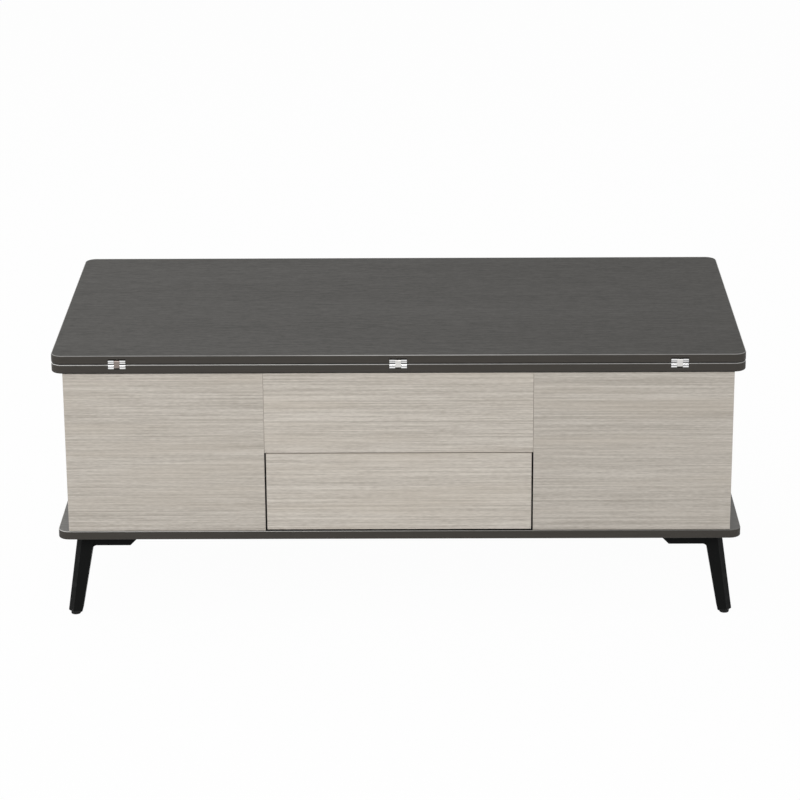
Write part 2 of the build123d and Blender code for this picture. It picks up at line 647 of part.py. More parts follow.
# Gas springs: a hollow tube with a gland, and a rod with its piston, both on the line between the two eyes
tube_end = gas_closed - GAS_EYE_REACH - GAS_ROD_SHOW
bore_radius = GAS_TUBE_RADIUS - GAS_TUBE_WALL
gland_radius = GAS_ROD_RADIUS + GAS_FIT
bore_start = GAS_EYE_REACH + GAS_CAP
rod_start = bore_start + GAS_CLOSED_GAP
rod_end = gas_closed - GAS_EYE_REACH
tube_outline = (
    (0, 0),
    (0, GAS_NECK_RADIUS),
    (GAS_EYE_REACH, GAS_NECK_RADIUS),
    (GAS_EYE_REACH, GAS_TUBE_RADIUS),
    (tube_end, GAS_TUBE_RADIUS),
    (tube_end, gland_radius),
    (tube_end - GAS_GLAND, gland_radius),
    (tube_end - GAS_GLAND, bore_radius),
    (bore_start, bore_radius),
    (bore_start, 0),
)
rod_outline = (
    (rod_start, 0),
    (rod_start, bore_radius - GAS_FIT),
    (rod_start + GAS_PISTON, bore_radius - GAS_FIT),
    (rod_start + GAS_PISTON, GAS_ROD_RADIUS),
    (rod_end, GAS_ROD_RADIUS),
    (rod_end, GAS_NECK_RADIUS),
    (gas_closed, GAS_NECK_RADIUS),
    (gas_closed, 0),
)
for hand, side in hands:
    strut = Plane(
        origin=inwards(side, gas_plane, (gas_base,))[0],
        x_dir=(0, gas_axis.X, gas_axis.Y),
        z_dir=(1, 0, 0),
    )
    for name, outline, place in (("cylinder", tube_outline, gas_base), ("rod", rod_outline, gas_eye)):
        with BuildPart() as spring_half:
            with BuildSketch(strut):
                with BuildLine():
                    Polyline(*outline, close=True)
                make_face()
            revolve(axis=Axis(strut.origin, strut.x_dir))
            with Locations(*seats(inwards(side, gas_plane, (place,)), (1, 0, 0))):
                Cylinder(GAS_EYE_RADIUS, GAS_EYE_THICK)
                Cylinder(pin_bore, GAS_EYE_THICK, mode=Mode.SUBTRACT)
        keep(spring_half, f"{hand}_gas_{name}")

# Leaves: rounded boards with a mortise for each hinge where the front edges meet
for name, bottom, mortise_height, mortise_z, to_seam in (
    ("lower_leaf", lower_z, HINGE_HEIGHT + MORTISE_LEDGE, lower_top_z, Align.MAX),
    ("upper_leaf", upper_z, HINGE_HEIGHT + MORTISE_ROOM, upper_z, Align.MIN),
):
    with BuildPart() as leaf:
        with BuildSketch(Plane.XY.offset(bottom)):
            RectangleRounded(TOP_LENGTH, TOP_DEPTH, PLAN_CORNER)
        extrude(amount=LEAF_THICK)
        rims = leaf.edges().group_by(Axis.Z)
        fillet(rims[0] + rims[-1], EDGE_ROUND)
        with Locations(*[(x, front_y + HINGE_DEPTH / 2, mortise_z) for _, x in hinges]):
            Box(
                HINGE_WIDTH + 2 * MORTISE_FIT,
                HINGE_DEPTH,
                mortise_height,
                align=(Align.CENTER, Align.CENTER, to_seam),
                mode=Mode.SUBTRACT,
            )
        if name == "lower_leaf":
            with Locations(*seats(rail_screw_points, (0, 0, -1))):
                Hole(pilot_radius, SCREW_LENGTH + PILOT_END)
    keep(leaf, name)

# Hinge bodies: two cheeks on a bridge, each with the corner round its pin rolled to the leaf's edge radius
for hinge, x in hinges:
    for name, middle_z, corner, bore_z in (
        ("lower_body", lower_top_z - HINGE_HEIGHT / 2, -1, seam_z - pin_rise),
        ("upper_body", upper_z + HINGE_HEIGHT / 2, 0, seam_z + pin_rise),
    ):
        with BuildPart() as hinge_body:
            with BuildSketch(Plane.YZ.offset(x - HINGE_WIDTH / 2)) as profile:
                with Locations((front_y + HINGE_DEPTH / 2, middle_z)):
                    Rectangle(HINGE_DEPTH, HINGE_HEIGHT)
                fillet(profile.vertices().group_by(Axis.X)[0].sort_by(Axis.Y)[corner], EDGE_ROUND)
            extrude(amount=HINGE_WIDTH)
            with Locations((x, front_y + hinge_slot / 2, middle_z)):
                Box(LINK_WIDTH + 2 * LINK_FIT, hinge_slot, HINGE_HEIGHT, mode=Mode.SUBTRACT)
            with Locations(*seats([(x, pin_y, bore_z)], (1, 0, 0))):
                Cylinder(hinge_bore, HINGE_WIDTH, mode=Mode.SUBTRACT)
        keep(hinge_body, f"{hinge}_{name}")

# Hinge links: rounded bars that turn on both pins
for hinge, x in hinges:
    with BuildPart() as hinge_link:
        with BuildSketch(Plane.YZ.offset(x - LINK_WIDTH / 2)):
            with Locations((pin_y, seam_z)):
                SlotOverall(link_height, 2 * EDGE_ROUND, rotation=90)
        extrude(amount=LINK_WIDTH)
        with Locations(*seats([(x, pin_y, seam_z - pin_rise), (x, pin_y, seam_z + pin_rise)], (1, 0, 0))):
            Cylinder(hinge_bore, LINK_WIDTH, mode=Mode.SUBTRACT)
    keep(hinge_link, f"{hinge}_link")

# Hinge pins
for name, direction in (("lower", -1), ("upper", 1)):
    with BuildPart() as hinge_pins:
        with Locations(*seats([(x, pin_y, seam_z + direction * pin_rise) for _, x in hinges], (1, 0, 0))):
            Cylinder(HINGE_PIN_RADIUS, HINGE_WIDTH)
    keep(hinge_pins, f"hinge_{name}_pins")
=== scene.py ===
# %% [markdown]
# # A lift-top coffee table, finished for a studio picture
# The table's solids come from its CAD model, each already in its place and in metres. Blender adds what
# the solids can't show: printed wood grain, powder coat, plating, and the small fittings that repeat.
# The first cell loads the solids and gives a helper that measures the box round any one of them.

# %% Load the table's solids
import math

import bmesh
import bpy
from mathutils import Matrix, Vector


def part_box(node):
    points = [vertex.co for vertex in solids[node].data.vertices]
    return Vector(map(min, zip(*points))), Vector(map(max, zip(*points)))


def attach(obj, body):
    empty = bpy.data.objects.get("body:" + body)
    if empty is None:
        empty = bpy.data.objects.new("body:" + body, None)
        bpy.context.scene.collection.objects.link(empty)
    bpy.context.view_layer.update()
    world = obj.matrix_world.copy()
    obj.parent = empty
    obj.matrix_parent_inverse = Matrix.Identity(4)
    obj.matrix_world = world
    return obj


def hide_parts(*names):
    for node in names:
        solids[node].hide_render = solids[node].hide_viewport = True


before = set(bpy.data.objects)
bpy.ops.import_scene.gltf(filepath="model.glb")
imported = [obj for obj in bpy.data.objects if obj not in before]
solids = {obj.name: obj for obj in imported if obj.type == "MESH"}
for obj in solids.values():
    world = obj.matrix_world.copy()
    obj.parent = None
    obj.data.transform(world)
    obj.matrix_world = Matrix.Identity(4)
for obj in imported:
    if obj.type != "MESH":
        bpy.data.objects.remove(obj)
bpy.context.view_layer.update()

# %% [markdown]
# ## The camera
# A product picture of a table is taken from far off with a long lens, so that the sides hardly converge.
# The place, the aim and the lens below were solved from the corners of the table top in the picture.
# The aim is kept as three angles, and the camera's matrix is built from them column by column.

# %% Set up the camera
CAMERA_PLACE = Vector((0.04705, -5.19161, 2.0821))
CAMERA_TURN = -0.00904
CAMERA_DIP = 0.32996
CAMERA_ROLL = -0.00607
CAMERA_LENS = 134.62
SENSOR_WIDTH = 36.0


def camera_matrix(place, turn, dip, roll):
    """The camera's place and aim: turn to the right, dip below level and roll, in radians."""
    ahead = Vector((math.sin(turn) * math.cos(dip), math.cos(turn) * math.cos(dip), -math.sin(dip)))
    level = Vector((math.cos(turn), -math.sin(turn), 0))
    upright = level.cross(ahead)
    right = level * math.cos(roll) + upright * math.sin(roll)
    up = upright * math.cos(roll) - level * math.sin(roll)
    columns = Matrix((right, up, -ahead)).transposed()
    return Matrix.Translation(place) @ columns.to_4x4()


scene = bpy.context.scene
camera = bpy.data.objects.new("picture_camera", bpy.data.cameras.new("picture_camera"))
camera.data.lens = CAMERA_LENS
camera.data.sensor_width = SENSOR_WIDTH
camera.matrix_world = camera_matrix(CAMERA_PLACE, CAMERA_TURN, CAMERA_DIP, CAMERA_ROLL)
scene.collection.objects.link(camera)
scene.camera = camera
scene.view_settings.view_transform = "Standard"
print("camera looks from", [round(value, 3) for value in CAMERA_PLACE])

# %% [markdown]
# ## Sums in a node tree
# A finish is a sum: this much streak plus that much pore, clipped and coloured. Written node by node such a
# sum is unreadable, so one small class wraps a socket and lets Python's own operators add the Math nodes.
# A second class makes any other node from its type, its settings and its sockets. The same two classes
# serve materials and Geometry Nodes, because both are node trees.

# %% Wrap a socket
class Wire:
    """An output socket that can stand in a sum."""

    def __init__(self, tree, socket):
        self.tree = tree
        self.socket = socket

    def combine(self, operation, first, second=0.0):
        return self.tree.node("ShaderNodeMath", {0: first, 1: second}, {"operation": operation})

    def __add__(self, other):
        return self.combine("ADD", self, other)

    def __sub__(self, other):
        return self.combine("SUBTRACT", self, other)

    def __rsub__(self, other):
        return self.combine("SUBTRACT", other, self)

    def __mul__(self, other):
        return self.combine("MULTIPLY", self, other)

    def __abs__(self):
        return self.combine("ABSOLUTE", self)

    __radd__ = __add__
    __rmul__ = __mul__


print("socket sums ready")

# %% Wrap a tree
class Tree:
    """A node tree that makes nodes and links them."""

    def __init__(self, nodes):
        self.nodes = nodes

    def feed(self, socket, value):
        if isinstance(value, Wire):
            self.nodes.links.new(value.socket, socket)
        else:
            socket.default_value = value

    def node(self, kind, sockets=None, settings=None, out=0):
        made = self.nodes.nodes.new(kind)
        for name, value in (settings or {}).items():
            setattr(made, name, value)
        for name, value in (sockets or {}).items():
            self.feed(made.inputs[name], value)
        return Wire(self, made.outputs[out])

    def largest(self, first, second):
        return self.node("ShaderNodeMath", {0: first, 1: second}, {"operation": "MAXIMUM"})

    def join(self, x, y, z):
        return self.node("ShaderNodeCombineXYZ", {0: x, 1: y, 2: z})


print("node trees ready")

# %% [markdown]
# ## The parts that every finish shares
# All finishes read Object coordinates: each solid keeps its place in its own mesh, so these are metres in the
# table's frame and the pattern rides along when a leaf or the drawer moves. Three things are needed again
# and again: noise stretched to a given grain, a clipped ramp, and a mask of the eased edges. On an eased
# edge the surface faces between two axes, so one minus the largest part of the object-space normal finds it.

# %% Make the base of a finish
EASED_EDGE = (0.02, 0.16)


def scaled(share, parts):
    """Every part of a colour or a shift, times a share."""
    return [share * part for part in parts]


class Finish(Tree):
    """A material with the pieces that the table's finishes are summed from."""

    def __init__(self, name):
        self.material = bpy.data.materials.new(name)
        self.material.use_nodes = True
        super().__init__(self.material.node_tree)
        self.shader = self.nodes.nodes["Principled BSDF"]
        self.spot = self.node("ShaderNodeTexCoord", out="Object")
        self.place = self.parts(self.spot)
        self.facing = self.parts(self.node("ShaderNodeTexCoord", out="Normal"))

    def parts(self, vector):
        made = self.node("ShaderNodeSeparateXYZ", {0: vector}).socket.node
        return [Wire(self, socket) for socket in made.outputs]

    def stretch(self, vector, scale, move=(0, 0, 0)):
        return self.node("ShaderNodeMapping", {"Vector": vector, "Scale": scale, "Location": move})

    def noise(self, vector, detail, rough=0.5, scale=1.0):
        sockets = {"Vector": vector, "Scale": scale, "Detail": detail, "Roughness": rough}
        return self.node("ShaderNodeTexNoise", sockets)

    def layers(self, spot, recipe):
        """One noise for each layer: its scale along and across the grain, its detail and its roughness."""
        made = []
        for along, across, detail, rough in recipe.values():
            made.append(self.noise(self.stretch(spot, (along, across, across)), detail, rough))
        return made

    def ramp(self, value, low, high):
        sockets = {"Value": value, "From Min": low, "From Max": high}
        return self.node("ShaderNodeMapRange", sockets, {"interpolation_type": "SMOOTHSTEP"})

    def mix(self, factor, first, second):
        # Of a Mix node's sockets, 6, 7 and the output 2 are for colours, and 4, 5 and 1 are for vectors.
        sockets = {0: factor, 6: self.colour(first), 7: self.colour(second)}
        return self.node("ShaderNodeMix", sockets, {"data_type": "RGBA"}, out=2)

    def colour(self, value):
        return value if isinstance(value, Wire) else (*value, 1.0)

    def arris(self):
        x, y, z = [abs(part) for part in self.facing]
        return self.ramp(1 - self.largest(self.largest(x, y), z), *EASED_EDGE)

    def finish(self, colour, rough, height, depth, strength, **constants):
        """Feeds the shader: colour, roughness and bump may vary, the constants are set on their sockets."""
        self.feed(self.shader.inputs["Base Color"], colour)
        self.feed(self.shader.inputs["Roughness"], rough)
        sockets = {"Strength": strength, "Distance": depth, "Height": height}
        self.feed(self.shader.inputs["Normal"], self.node("ShaderNodeBump", sockets))
        for name, value in constants.items():
            self.shader.inputs[name.replace("_", " ")].default_value = value
        return self.material


print("finish base ready")

# %% [markdown]
# ## The stage
# The table stands on a plain white floor. The floor is a matt surface that takes the table's soft shadow, and
# to the eye of the camera, and in reflections, most of it is replaced by an even white glow, so that the
# background stays white without any extra light on the table. The world works the same way: white to look
# at, and only a soft grey dome as a light.

# %% Lay the floor and the white surroundings
FLOOR_REACH = 14.0
FLOOR_GLOW = 0.975
FLOOR_TONE = (0.62, 0.62, 0.62, 1)
WHITE = (1, 1, 1, 1)
DOME_LIGHT = 0.5
SIGHT_RAYS = ("Is Camera Ray", "Is Glossy Ray", "Is Transmission Ray")


def seen_directly(tree):
    """One for rays that look at a surface or mirror it, zero for the light it sends on."""
    sight = tree.node("ShaderNodeLightPath").socket.node
    kinds = [Wire(tree, sight.outputs[name]) for name in SIGHT_RAYS]
    return tree.largest(tree.largest(kinds[0], kinds[1]), kinds[2])


def lay_floor():
    """A matt floor that glows white to whoever looks at it."""
    mesh = bpy.data.meshes.new("studio_floor")
    corners = [(x * FLOOR_REACH, y * FLOOR_REACH, 0) for x, y in ((-1, -1), (1, -1), (1, 1), (-1, 1))]
    mesh.from_pydata(corners, [], [(0, 1, 2, 3)])
    floor = bpy.data.objects.new("studio_floor", mesh)
    scene.collection.objects.link(floor)
    paint = Finish("studio_floor")
    matt = paint.node("ShaderNodeBsdfDiffuse", {"Color": FLOOR_TONE})
    glow = paint.node("ShaderNodeEmission", {"Color": WHITE, "Strength": 1.0})
    both = paint.node("ShaderNodeMixShader", {0: seen_directly(paint) * FLOOR_GLOW, 1: matt, 2: glow})
    paint.feed(paint.nodes.nodes["Material Output"].inputs["Surface"], both)
    mesh.materials.append(paint.material)


def whiten_world():
    """A world that is white to look at and a soft dome as a light."""
    world = bpy.data.worlds.new("white_studio")
    world.use_nodes = True
    scene.world = world
    sky = Tree(world.node_tree)
    strength = seen_directly(sky) * (1.0 - DOME_LIGHT) + DOME_LIGHT
    background = world.node_tree.nodes["Background"]
    sky.feed(background.inputs["Color"], WHITE)
    sky.feed(background.inputs["Strength"], strength)


lay_floor()
whiten_world()
print("floor reaches", FLOOR_REACH, "m each way")

# %% [markdown]
# ## The lamps
# Soft boxes light furniture evenly: a broad one high in front, which does most of the work, one overhead and
# one behind for the top, and two weaker ones at the sides, so that the table reads from every side. The first
# three hang left of the middle, because the picture's left half is a little brighter.

# %% Hang the soft boxes
TABLE_MIDDLE = Vector((0, 0, 0.3))
SOFT_BOXES = (
    ("overhead_box", (-1.0, -0.4, 2.8), (2.0, 1.4), 16.0),
    ("front_box", (-0.8, -3.7, 3.2), (3.6, 2.0), 88.0),
    ("left_box", (-3.6, -0.4, 1.7), (2.0, 1.6), 20.0),
    ("right_box", (3.6, -0.8, 1.7), (2.0, 1.6), 18.0),
    ("rear_box", (-0.9, 2.6, 3.4), (2.4, 1.4), 40.0),
)


def hang_box(name, place, size, watts):
    """A soft box that is aimed at the middle of the table."""
    lamp = bpy.data.lights.new(name, "AREA")
    lamp.shape = "RECTANGLE"
    lamp.size, lamp.size_y = size
    lamp.energy = watts
    box = bpy.data.objects.new(name, lamp)
    box.location = place
    box.rotation_euler = (TABLE_MIDDLE - Vector(place)).to_track_quat("-Z", "Y").to_euler()
    scene.collection.objects.link(box)


for soft_box in SOFT_BOXES:
    hang_box(*soft_box)
print("soft boxes:", len(SOFT_BOXES))

# %% [markdown]
# ## Pale oak laminate
# The cabinet's boards are chipboard with a printed oak film: long grey-beige streaks two to five millimetres
# wide, a slow drift of tone behind them, and short dark pores. An image would repeat and couldn't turn the
# corner of a board, so the film is summed from noise that is stretched along the grain. Each board gets its
# own shift, as boards cut from different sheets have. On the narrow ends, which face along the grain, the
# edging strip runs along the board's edge, so there the coordinates swap axes.

# %% Lay out the grain
AXES = {"X": 0, "Y": 1, "Z": 2}
FACES_ALONG = (0.6, 0.8)


def grain_spot(finish, grain, edging, shift):
    """Metres with X along the grain; on faces that look along the grain, X runs along the edging strip."""

    def turned(first):
        others = [axis for axis in AXES if axis != first]
        return finish.join(*[finish.place[AXES[axis]] for axis in (first, *others)])

    looks_along = finish.ramp(abs(finish.facing[AXES[grain]]), *FACES_ALONG)
    sockets = {0: looks_along, 4: turned(grain), 5: turned(edging)}
    both = finish.node("ShaderNodeMix", sockets, {"data_type": "VECTOR"}, out=1)
    return finish.stretch(both, (1, 1, 1), shift)


print("the grain can run along", ", ".join(AXES))

# %% [markdown]
# ## The drawer's gap
# A gap of two millimetres round a drawer looks black, because little light finds its way in, so that shade
# is painted: the faces that line the gap take a near-black strip, a hair of painted shadow drawn as a line
# of glue runs where the edging meets the face, and the base plate under the drawer's front is painted dark
# too. All three are masks on the boards' own coordinates, so each stays on its board when the drawer is
# pulled out.

# %% Darken the drawer's gap
GAP_SHADE = (0.008, 0.007, 0.006)
GAP_DEPTH = 0.045
GAP_FADE = 0.002
EDGE_FADE = 0.001
GLUE_SHADOW_LINE = 0.0006
FACES_GAP = (0.6, 0.9)
GAP_FLOOR_SIDE = 0.004
GAP_FLOOR_AHEAD = 0.0012
DRAWER_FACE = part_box("drawer_front")
GAP_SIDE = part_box("right_partition")[0].x
GAP_BACK = DRAWER_FACE[1].y + GAP_DEPTH
GAP_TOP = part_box("centre_shelf")[0].z


def gap_shade_strip(oak):
    """Painted shade on the faces that line the drawer's gap, as far back as the eye can follow it."""
    x, y, z = oak.place
    beside = oak.ramp(abs(x), GAP_SIDE + 2 * GAP_FADE, GAP_SIDE + GAP_FADE)
    before = oak.ramp(y, GAP_BACK, GAP_BACK - GAP_FADE)
    below = oak.ramp(z, GAP_TOP, GAP_TOP - EDGE_FADE)
    return beside * before * below * oak.ramp(abs(oak.facing[0]), *FACES_GAP)


def glue_and_shadow_line(oak):
    """A hair of painted shadow where the edging meets the face along the drawer's gap, drawn as glue."""
    x, _, z = oak.place
    low, high = DRAWER_FACE
    middle = (GAP_SIDE + high.x) / 2
    reach = (GAP_SIDE - high.x) / 2 + GLUE_SHADOW_LINE
    sides = oak.ramp(abs(abs(x) - middle), reach, reach - 0.5 * GLUE_SHADOW_LINE)
    sides = sides * oak.ramp(z, high.z + EDGE_FADE, high.z)
    foot = oak.ramp(z, low.z + GLUE_SHADOW_LINE, low.z + 0.5 * GLUE_SHADOW_LINE) * oak.ramp(abs(x), GAP_SIDE, high.x)
    return oak.largest(sides, foot) * oak.ramp(abs(oak.facing[1]), *FACES_GAP)


def gap_floor_shade(film):
    """Painted shade on the plate under the drawer's front and a hair ahead, where hardly any light falls."""
    x, y, _ = film.place
    low, high = DRAWER_FACE
    beside = film.ramp(abs(x), high.x + GAP_FLOOR_SIDE, high.x + 0.75 * GAP_FLOOR_SIDE)
    ahead = film.ramp(y, low.y - GAP_FLOOR_AHEAD, low.y - 0.5 * GAP_FLOOR_AHEAD)
    return beside * ahead * film.ramp(y, high.y + GAP_FADE, high.y)


print("gap beside the drawer:", round(GAP_SIDE - DRAWER_FACE[1].x, 4), "m")

# %% Print the oak film
OAK_DARK = (0.385, 0.348, 0.302)
OAK_LIGHT = (0.655, 0.610, 0.550)
OAK_WARM = (0.530, 0.475, 0.405)
OAK_PORE = (0.29, 0.252, 0.21)
OAK_LAYERS = {
    "drift": (1.1, 13, 2, 0.5),
    "long streak": (2.2, 360, 1, 0.5),
    "streak": (12, 460, 3, 0.6),
    "dash": (90, 700, 1, 0.5),
    "pore": (30, 1500, 1, 0.4),
    "patch": (2.0, 30, 2, 0.5),
}


def oak_film(name, grain, edging, shift, tone, gap):
    """Oak film; at the drawer's gap, painted shade: a dark strip, a shadow line drawn as glue, or both."""
    oak = Finish(name)
    dark, light, warm = [scaled(tone, shade) for shade in (OAK_DARK, OAK_LIGHT, OAK_WARM)]
    spot = grain_spot(oak, grain, edging, shift)
    drift, long_streak, streak, dash, pore, patch = oak.layers(spot, OAK_LAYERS)
    grey = 0.36 * long_streak + 0.32 * streak + 0.26 * dash + 0.06 * drift
    colour = oak.mix(oak.ramp(grey, 0.3, 0.7), dark, light)
    colour = oak.mix(0.4 * oak.ramp(patch, 0.4, 0.7), colour, warm)
    pores = oak.ramp(pore, 0.62, 0.74) * oak.ramp(streak, 0.6, 0.4)
    colour = oak.mix(0.5 * pores, colour, OAK_PORE)
    worn = oak.arris() * oak.ramp(oak.noise(oak.spot, detail=3, scale=60), 0.35, 0.7)
    colour = oak.mix(0.3 * worn, colour, light)
    if "strip" in gap:
        # Painted shade on the faces that line the drawer's gap.
        colour = oak.mix(gap_shade_strip(oak), colour, GAP_SHADE)
    if "line" in gap:
        # A painted shadow line along the drawer's gap, drawn as the edging's glue line.
        colour = oak.mix(0.9 * glue_and_shadow_line(oak), colour, GAP_SHADE)
    rough = 0.52 + 0.16 * (1 - drift) + 0.12 * pores - 0.08 * worn
    height = 0.5 * streak + 0.3 * dash - 0.6 * pores
    return oak.finish(colour, rough, height, depth=0.00015, strength=0.35, Specular_IOR_Level=0.25)


print("oak film layers:", ", ".join(OAK_LAYERS))

# %% Dress the oak boards
BOARD_SHIFT = (0.731, 0.377, 0.213)
# Each board: grain, edging, tone and the marks at the drawer's gap. Tone lightens or darkens the film; the
# right front panel's darker tone is painted shade from the light that falls from the left. The marks at the
# gap are painted shade: 'strip' for the dark strip, 'line' for the shadow line drawn as glue.
OAK_BOARDS = (
    ("front_left_panel", "X", "Z", 1.0, ("strip", "line")),
    ("front_right_panel", "X", "Z", 0.975, ("strip", "line")),
    ("front_centre_panel", "X", "Z", 1.06, ()),
    ("drawer_front", "X", "Z", 1.08, ("line",)),
    ("back_panel", "X", "Z", 1.0, ()),
    ("left_end_panel", "Y", "Z", 1.0, ()),
    ("right_end_panel", "Y", "Z", 1.0, ()),
    ("left_partition", "Y", "Z", 1.0, ("strip",)),
    ("right_partition", "Y", "Z", 1.0, ("strip",)),
    ("centre_shelf", "X", "Y", 1.0, ()),
    ("drawer_left_side", "Y", "Z", 1.0, ()),
    ("drawer_right_side", "Y", "Z", 1.0, ()),
    ("drawer_back", "X", "Z", 1.0, ()),
    ("drawer_bottom", "X", "Y", 1.0, ()),
)


def dress(name, material):
    """Puts a finish on every slot of a solid."""
    for slot in solids[name].material_slots:
        slot.material = material


for number, (board, grain, edging, tone, gap) in enumerate(OAK_BOARDS):
    shift = scaled(number, BOARD_SHIFT)
    dress(board, oak_film(f"oak_{board}", grain, edging, shift, tone, gap))
print("oak boards:", len(OAK_BOARDS))

# %% [markdown]
# ## Charcoal laminate
# The two leaves and the base plate carry a charcoal film with a very fine grain, so quiet that it shows as a
# sheen more than as a pattern. Its edges are a plain darker strip, rounded over by a router. The thin pale
# line along the rounding is a painted highlight, which the edge mask paints on the rims that face upwards.
# It is strongest where the picture shows its glint and fades from there. The base plate has a glossier coat
# on its upper face, apart from the floor of the drawer's gap, which is painted dark as shade. Its film is
# printed lighter than the leaves' too, a painted sheen.

# %% Print the charcoal film
CHARCOAL_DARK = (0.0265, 0.0252, 0.0225)
CHARCOAL_LIGHT = (0.0580, 0.0555, 0.0510)
CHARCOAL_STRIP = (0.0585, 0.0530, 0.0465)
CHARCOAL_RIM_HIGHLIGHT = (0.72, 0.71, 0.69)
CHARCOAL_LAYERS = {
    "drift": (0.8, 5, 2, 0.5),
    "streak": (9, 300, 2, 0.6),
    "dash": (34, 330, 2, 0.6),
    "fleck": (120, 240, 2, 0.5),
    "pore": (34, 1100, 2, 0.5),
}


def charcoal_film(name, shift, rim_highlight, glint, sheen_tint, coat):
    """Charcoal film with a painted rim highlight, strongest at the glint's place, by its reach and share."""
    film = Finish(name)
    spot = grain_spot(film, "X", "Y", shift)
    drift, streak, dash, fleck, pore = film.layers(spot, CHARCOAL_LAYERS)
    grey = 0.04 * drift + 0.24 * streak + 0.44 * dash + 0.28 * fleck
    dark, light = scaled(sheen_tint, CHARCOAL_DARK), scaled(sheen_tint, CHARCOAL_LIGHT)
    colour = film.mix(film.ramp(grey, 0.33, 0.67), dark, light)
    pores = film.ramp(pore, 0.58, 0.7)
    colour = film.mix(0.4 * pores, colour, dark)
    upward = film.facing[2]
    level = film.ramp(upward, 0.5, 0.9)
    if coat:
        # The plate's floor of the drawer's gap is painted dark as shade, and it has no coat.
        floor_shade = gap_floor_shade(film)
        film.feed(film.shader.inputs["Coat Weight"], coat * (1 - floor_shade) * level)
        colour = film.mix(floor_shade * level, colour, GAP_SHADE)
    strip = film.ramp(abs(upward), 0.45, 0.25)
    shade = film.mix(film.ramp(streak, 0.2, 0.8), scaled(0.9, CHARCOAL_STRIP), CHARCOAL_STRIP)
    colour = film.mix(strip, colour, shade)
    # The pale line on the upward rims is a painted highlight, uneven along the edge and strongest at the
    # glint.
    uneven_highlight = film.ramp(film.noise(film.spot, detail=4, scale=35), 0.25, 0.6)
    place, reach, share = glint
    bright = film.ramp(abs(film.place[0] - place), reach, 0.1 * reach)
    shine = (1 - share) * (0.75 + 0.25 * uneven_highlight) + share * bright
    rim = film.arris() * film.ramp(upward, 0.4, 0.7) * shine
    colour = film.mix(rim_highlight * rim, colour, CHARCOAL_RIM_HIGHLIGHT)
    rough = 0.52 + 0.12 * (1 - drift) + 0.1 * pores - 0.1 * rim
    height = 0.6 * streak - 0.6 * pores
    constants = {"Specular_IOR_Level": 0.12, "Coat_Roughness": 0.4}
    return film.finish(colour, rough, height, depth=0.00012, strength=0.3, **constants)


print("charcoal film layers:", ", ".join(CHARCOAL_LAYERS))

# %% Dress the charcoal boards
# Each board: its grain's shift, the strength of its painted rim highlight, the glint's place, reach and
# share, its sheen tint and its coat. The base plate's film is printed lighter by its tint, a painted sheen.
CHARCOAL_BOARDS = (
    ("upper_leaf", (0, 0, 0), 0.56, (0.03, 0.34, 0.4), 1.0, 0.0),
    ("lower_leaf", (0.9, 0.41, 0.17), 0.92, (-0.45, 0.8, 0.4), 1.0, 0.0),
    ("base_plate", (1.8, 0.82, 0.34), 1.0, (-0.5, 1.0, 0.85), 1.6, 0.7),
)

for board, shift, rim_highlight, glint, sheen_tint, coat in CHARCOAL_BOARDS:
    dress(board, charcoal_film(f"charcoal_{board}", shift, rim_highlight, glint, sheen_tint, coat))
print("charcoal boards:", len(CHARCOAL_BOARDS))

# %% [markdown]
# ## Powder coat, enamel and rubber
# The cast legs and the lift's pressed steel are powder coated: the powder melts into a skin with a faint
# orange-peel ripple, and it thins on sharp edges. The gas springs are sprayed with a smoother enamel. One
# function serves them all, from a table with a row for each paint. The rubber of the pads is dull, with fine
# dust in it.

# %% Coat the painted parts
HANDS = ("left", "right")
LEGS = ("front_left_leg", "front_right_leg", "rear_left_leg", "rear_right_leg")
LIFT_PARTS = [
    f"{hand}_{part}"
    for hand in HANDS
    for part in ("lift_base_bracket", "lift_top_rail", "front_lift_arm", "rear_lift_arm")
]
GAS_CYLINDERS = [f"{hand}_gas_cylinder" for hand in HANDS]
RUBBER_PARTS = ("leg_glides", "lid_bumpers")


def painted(name, base, thin, wear, ripple, depth, rough, gloss):
    """A coat of paint that thins on its edges by the wear, which is nought on round parts."""
    coat = Finish(name)
    cloud = coat.noise(coat.spot, detail=3, scale=22)
    peel = coat.noise(coat.spot, detail=2, rough=0.45, scale=ripple)
    speck = coat.ramp(coat.noise(coat.spot, detail=1, scale=2.4 * ripple), 0.66, 0.78)
    colour = coat.mix(coat.ramp(cloud, 0.3, 0.7), scaled(0.82, base), base)
    edge = coat.arris() * coat.ramp(coat.noise(coat.spot, detail=4, scale=70), 0.4, 0.75)
    colour = coat.mix(wear * edge, colour, thin)
    sheen = rough + 0.1 * (cloud - 0.5) + 0.12 * speck
    return coat.finish(colour, sheen, peel, depth=depth, strength=0.4, Specular_IOR_Level=gloss)


# Each paint has its colour, its colour where it thins, then wear, ripple, depth, roughness and gloss.
PAINTS = (
    ("black_powder_coat", (0.004, 0.0044, 0.0042), (0.02, 0.02, 0.02), 0.5, 700, 0.00008, 0.5, 0.08),
    ("grey_powder_coat", (0.05, 0.05, 0.052), (0.16, 0.16, 0.16), 0.5, 900, 0.00006, 0.42, 0.4),
    ("black_enamel", (0.012, 0.012, 0.012), (0.05, 0.05, 0.05), 0.0, 260, 0.00002, 0.22, 0.5),
    ("dull_rubber", (0.018, 0.018, 0.018), (0.03, 0.03, 0.03), 0.0, 1600, 0.00005, 0.8, 0.2),
)
black_coat, grey_coat, black_enamel, rubber = [painted(*paint) for paint in PAINTS]
COATS = ((LEGS, black_coat), (LIFT_PARTS, grey_coat), (GAS_CYLINDERS, black_enamel), (RUBBER_PARTS, rubber))
for parts, coat in COATS:
    for solid in parts:
        dress(solid, coat)
    print(coat.name, "on", len(parts), "solids")

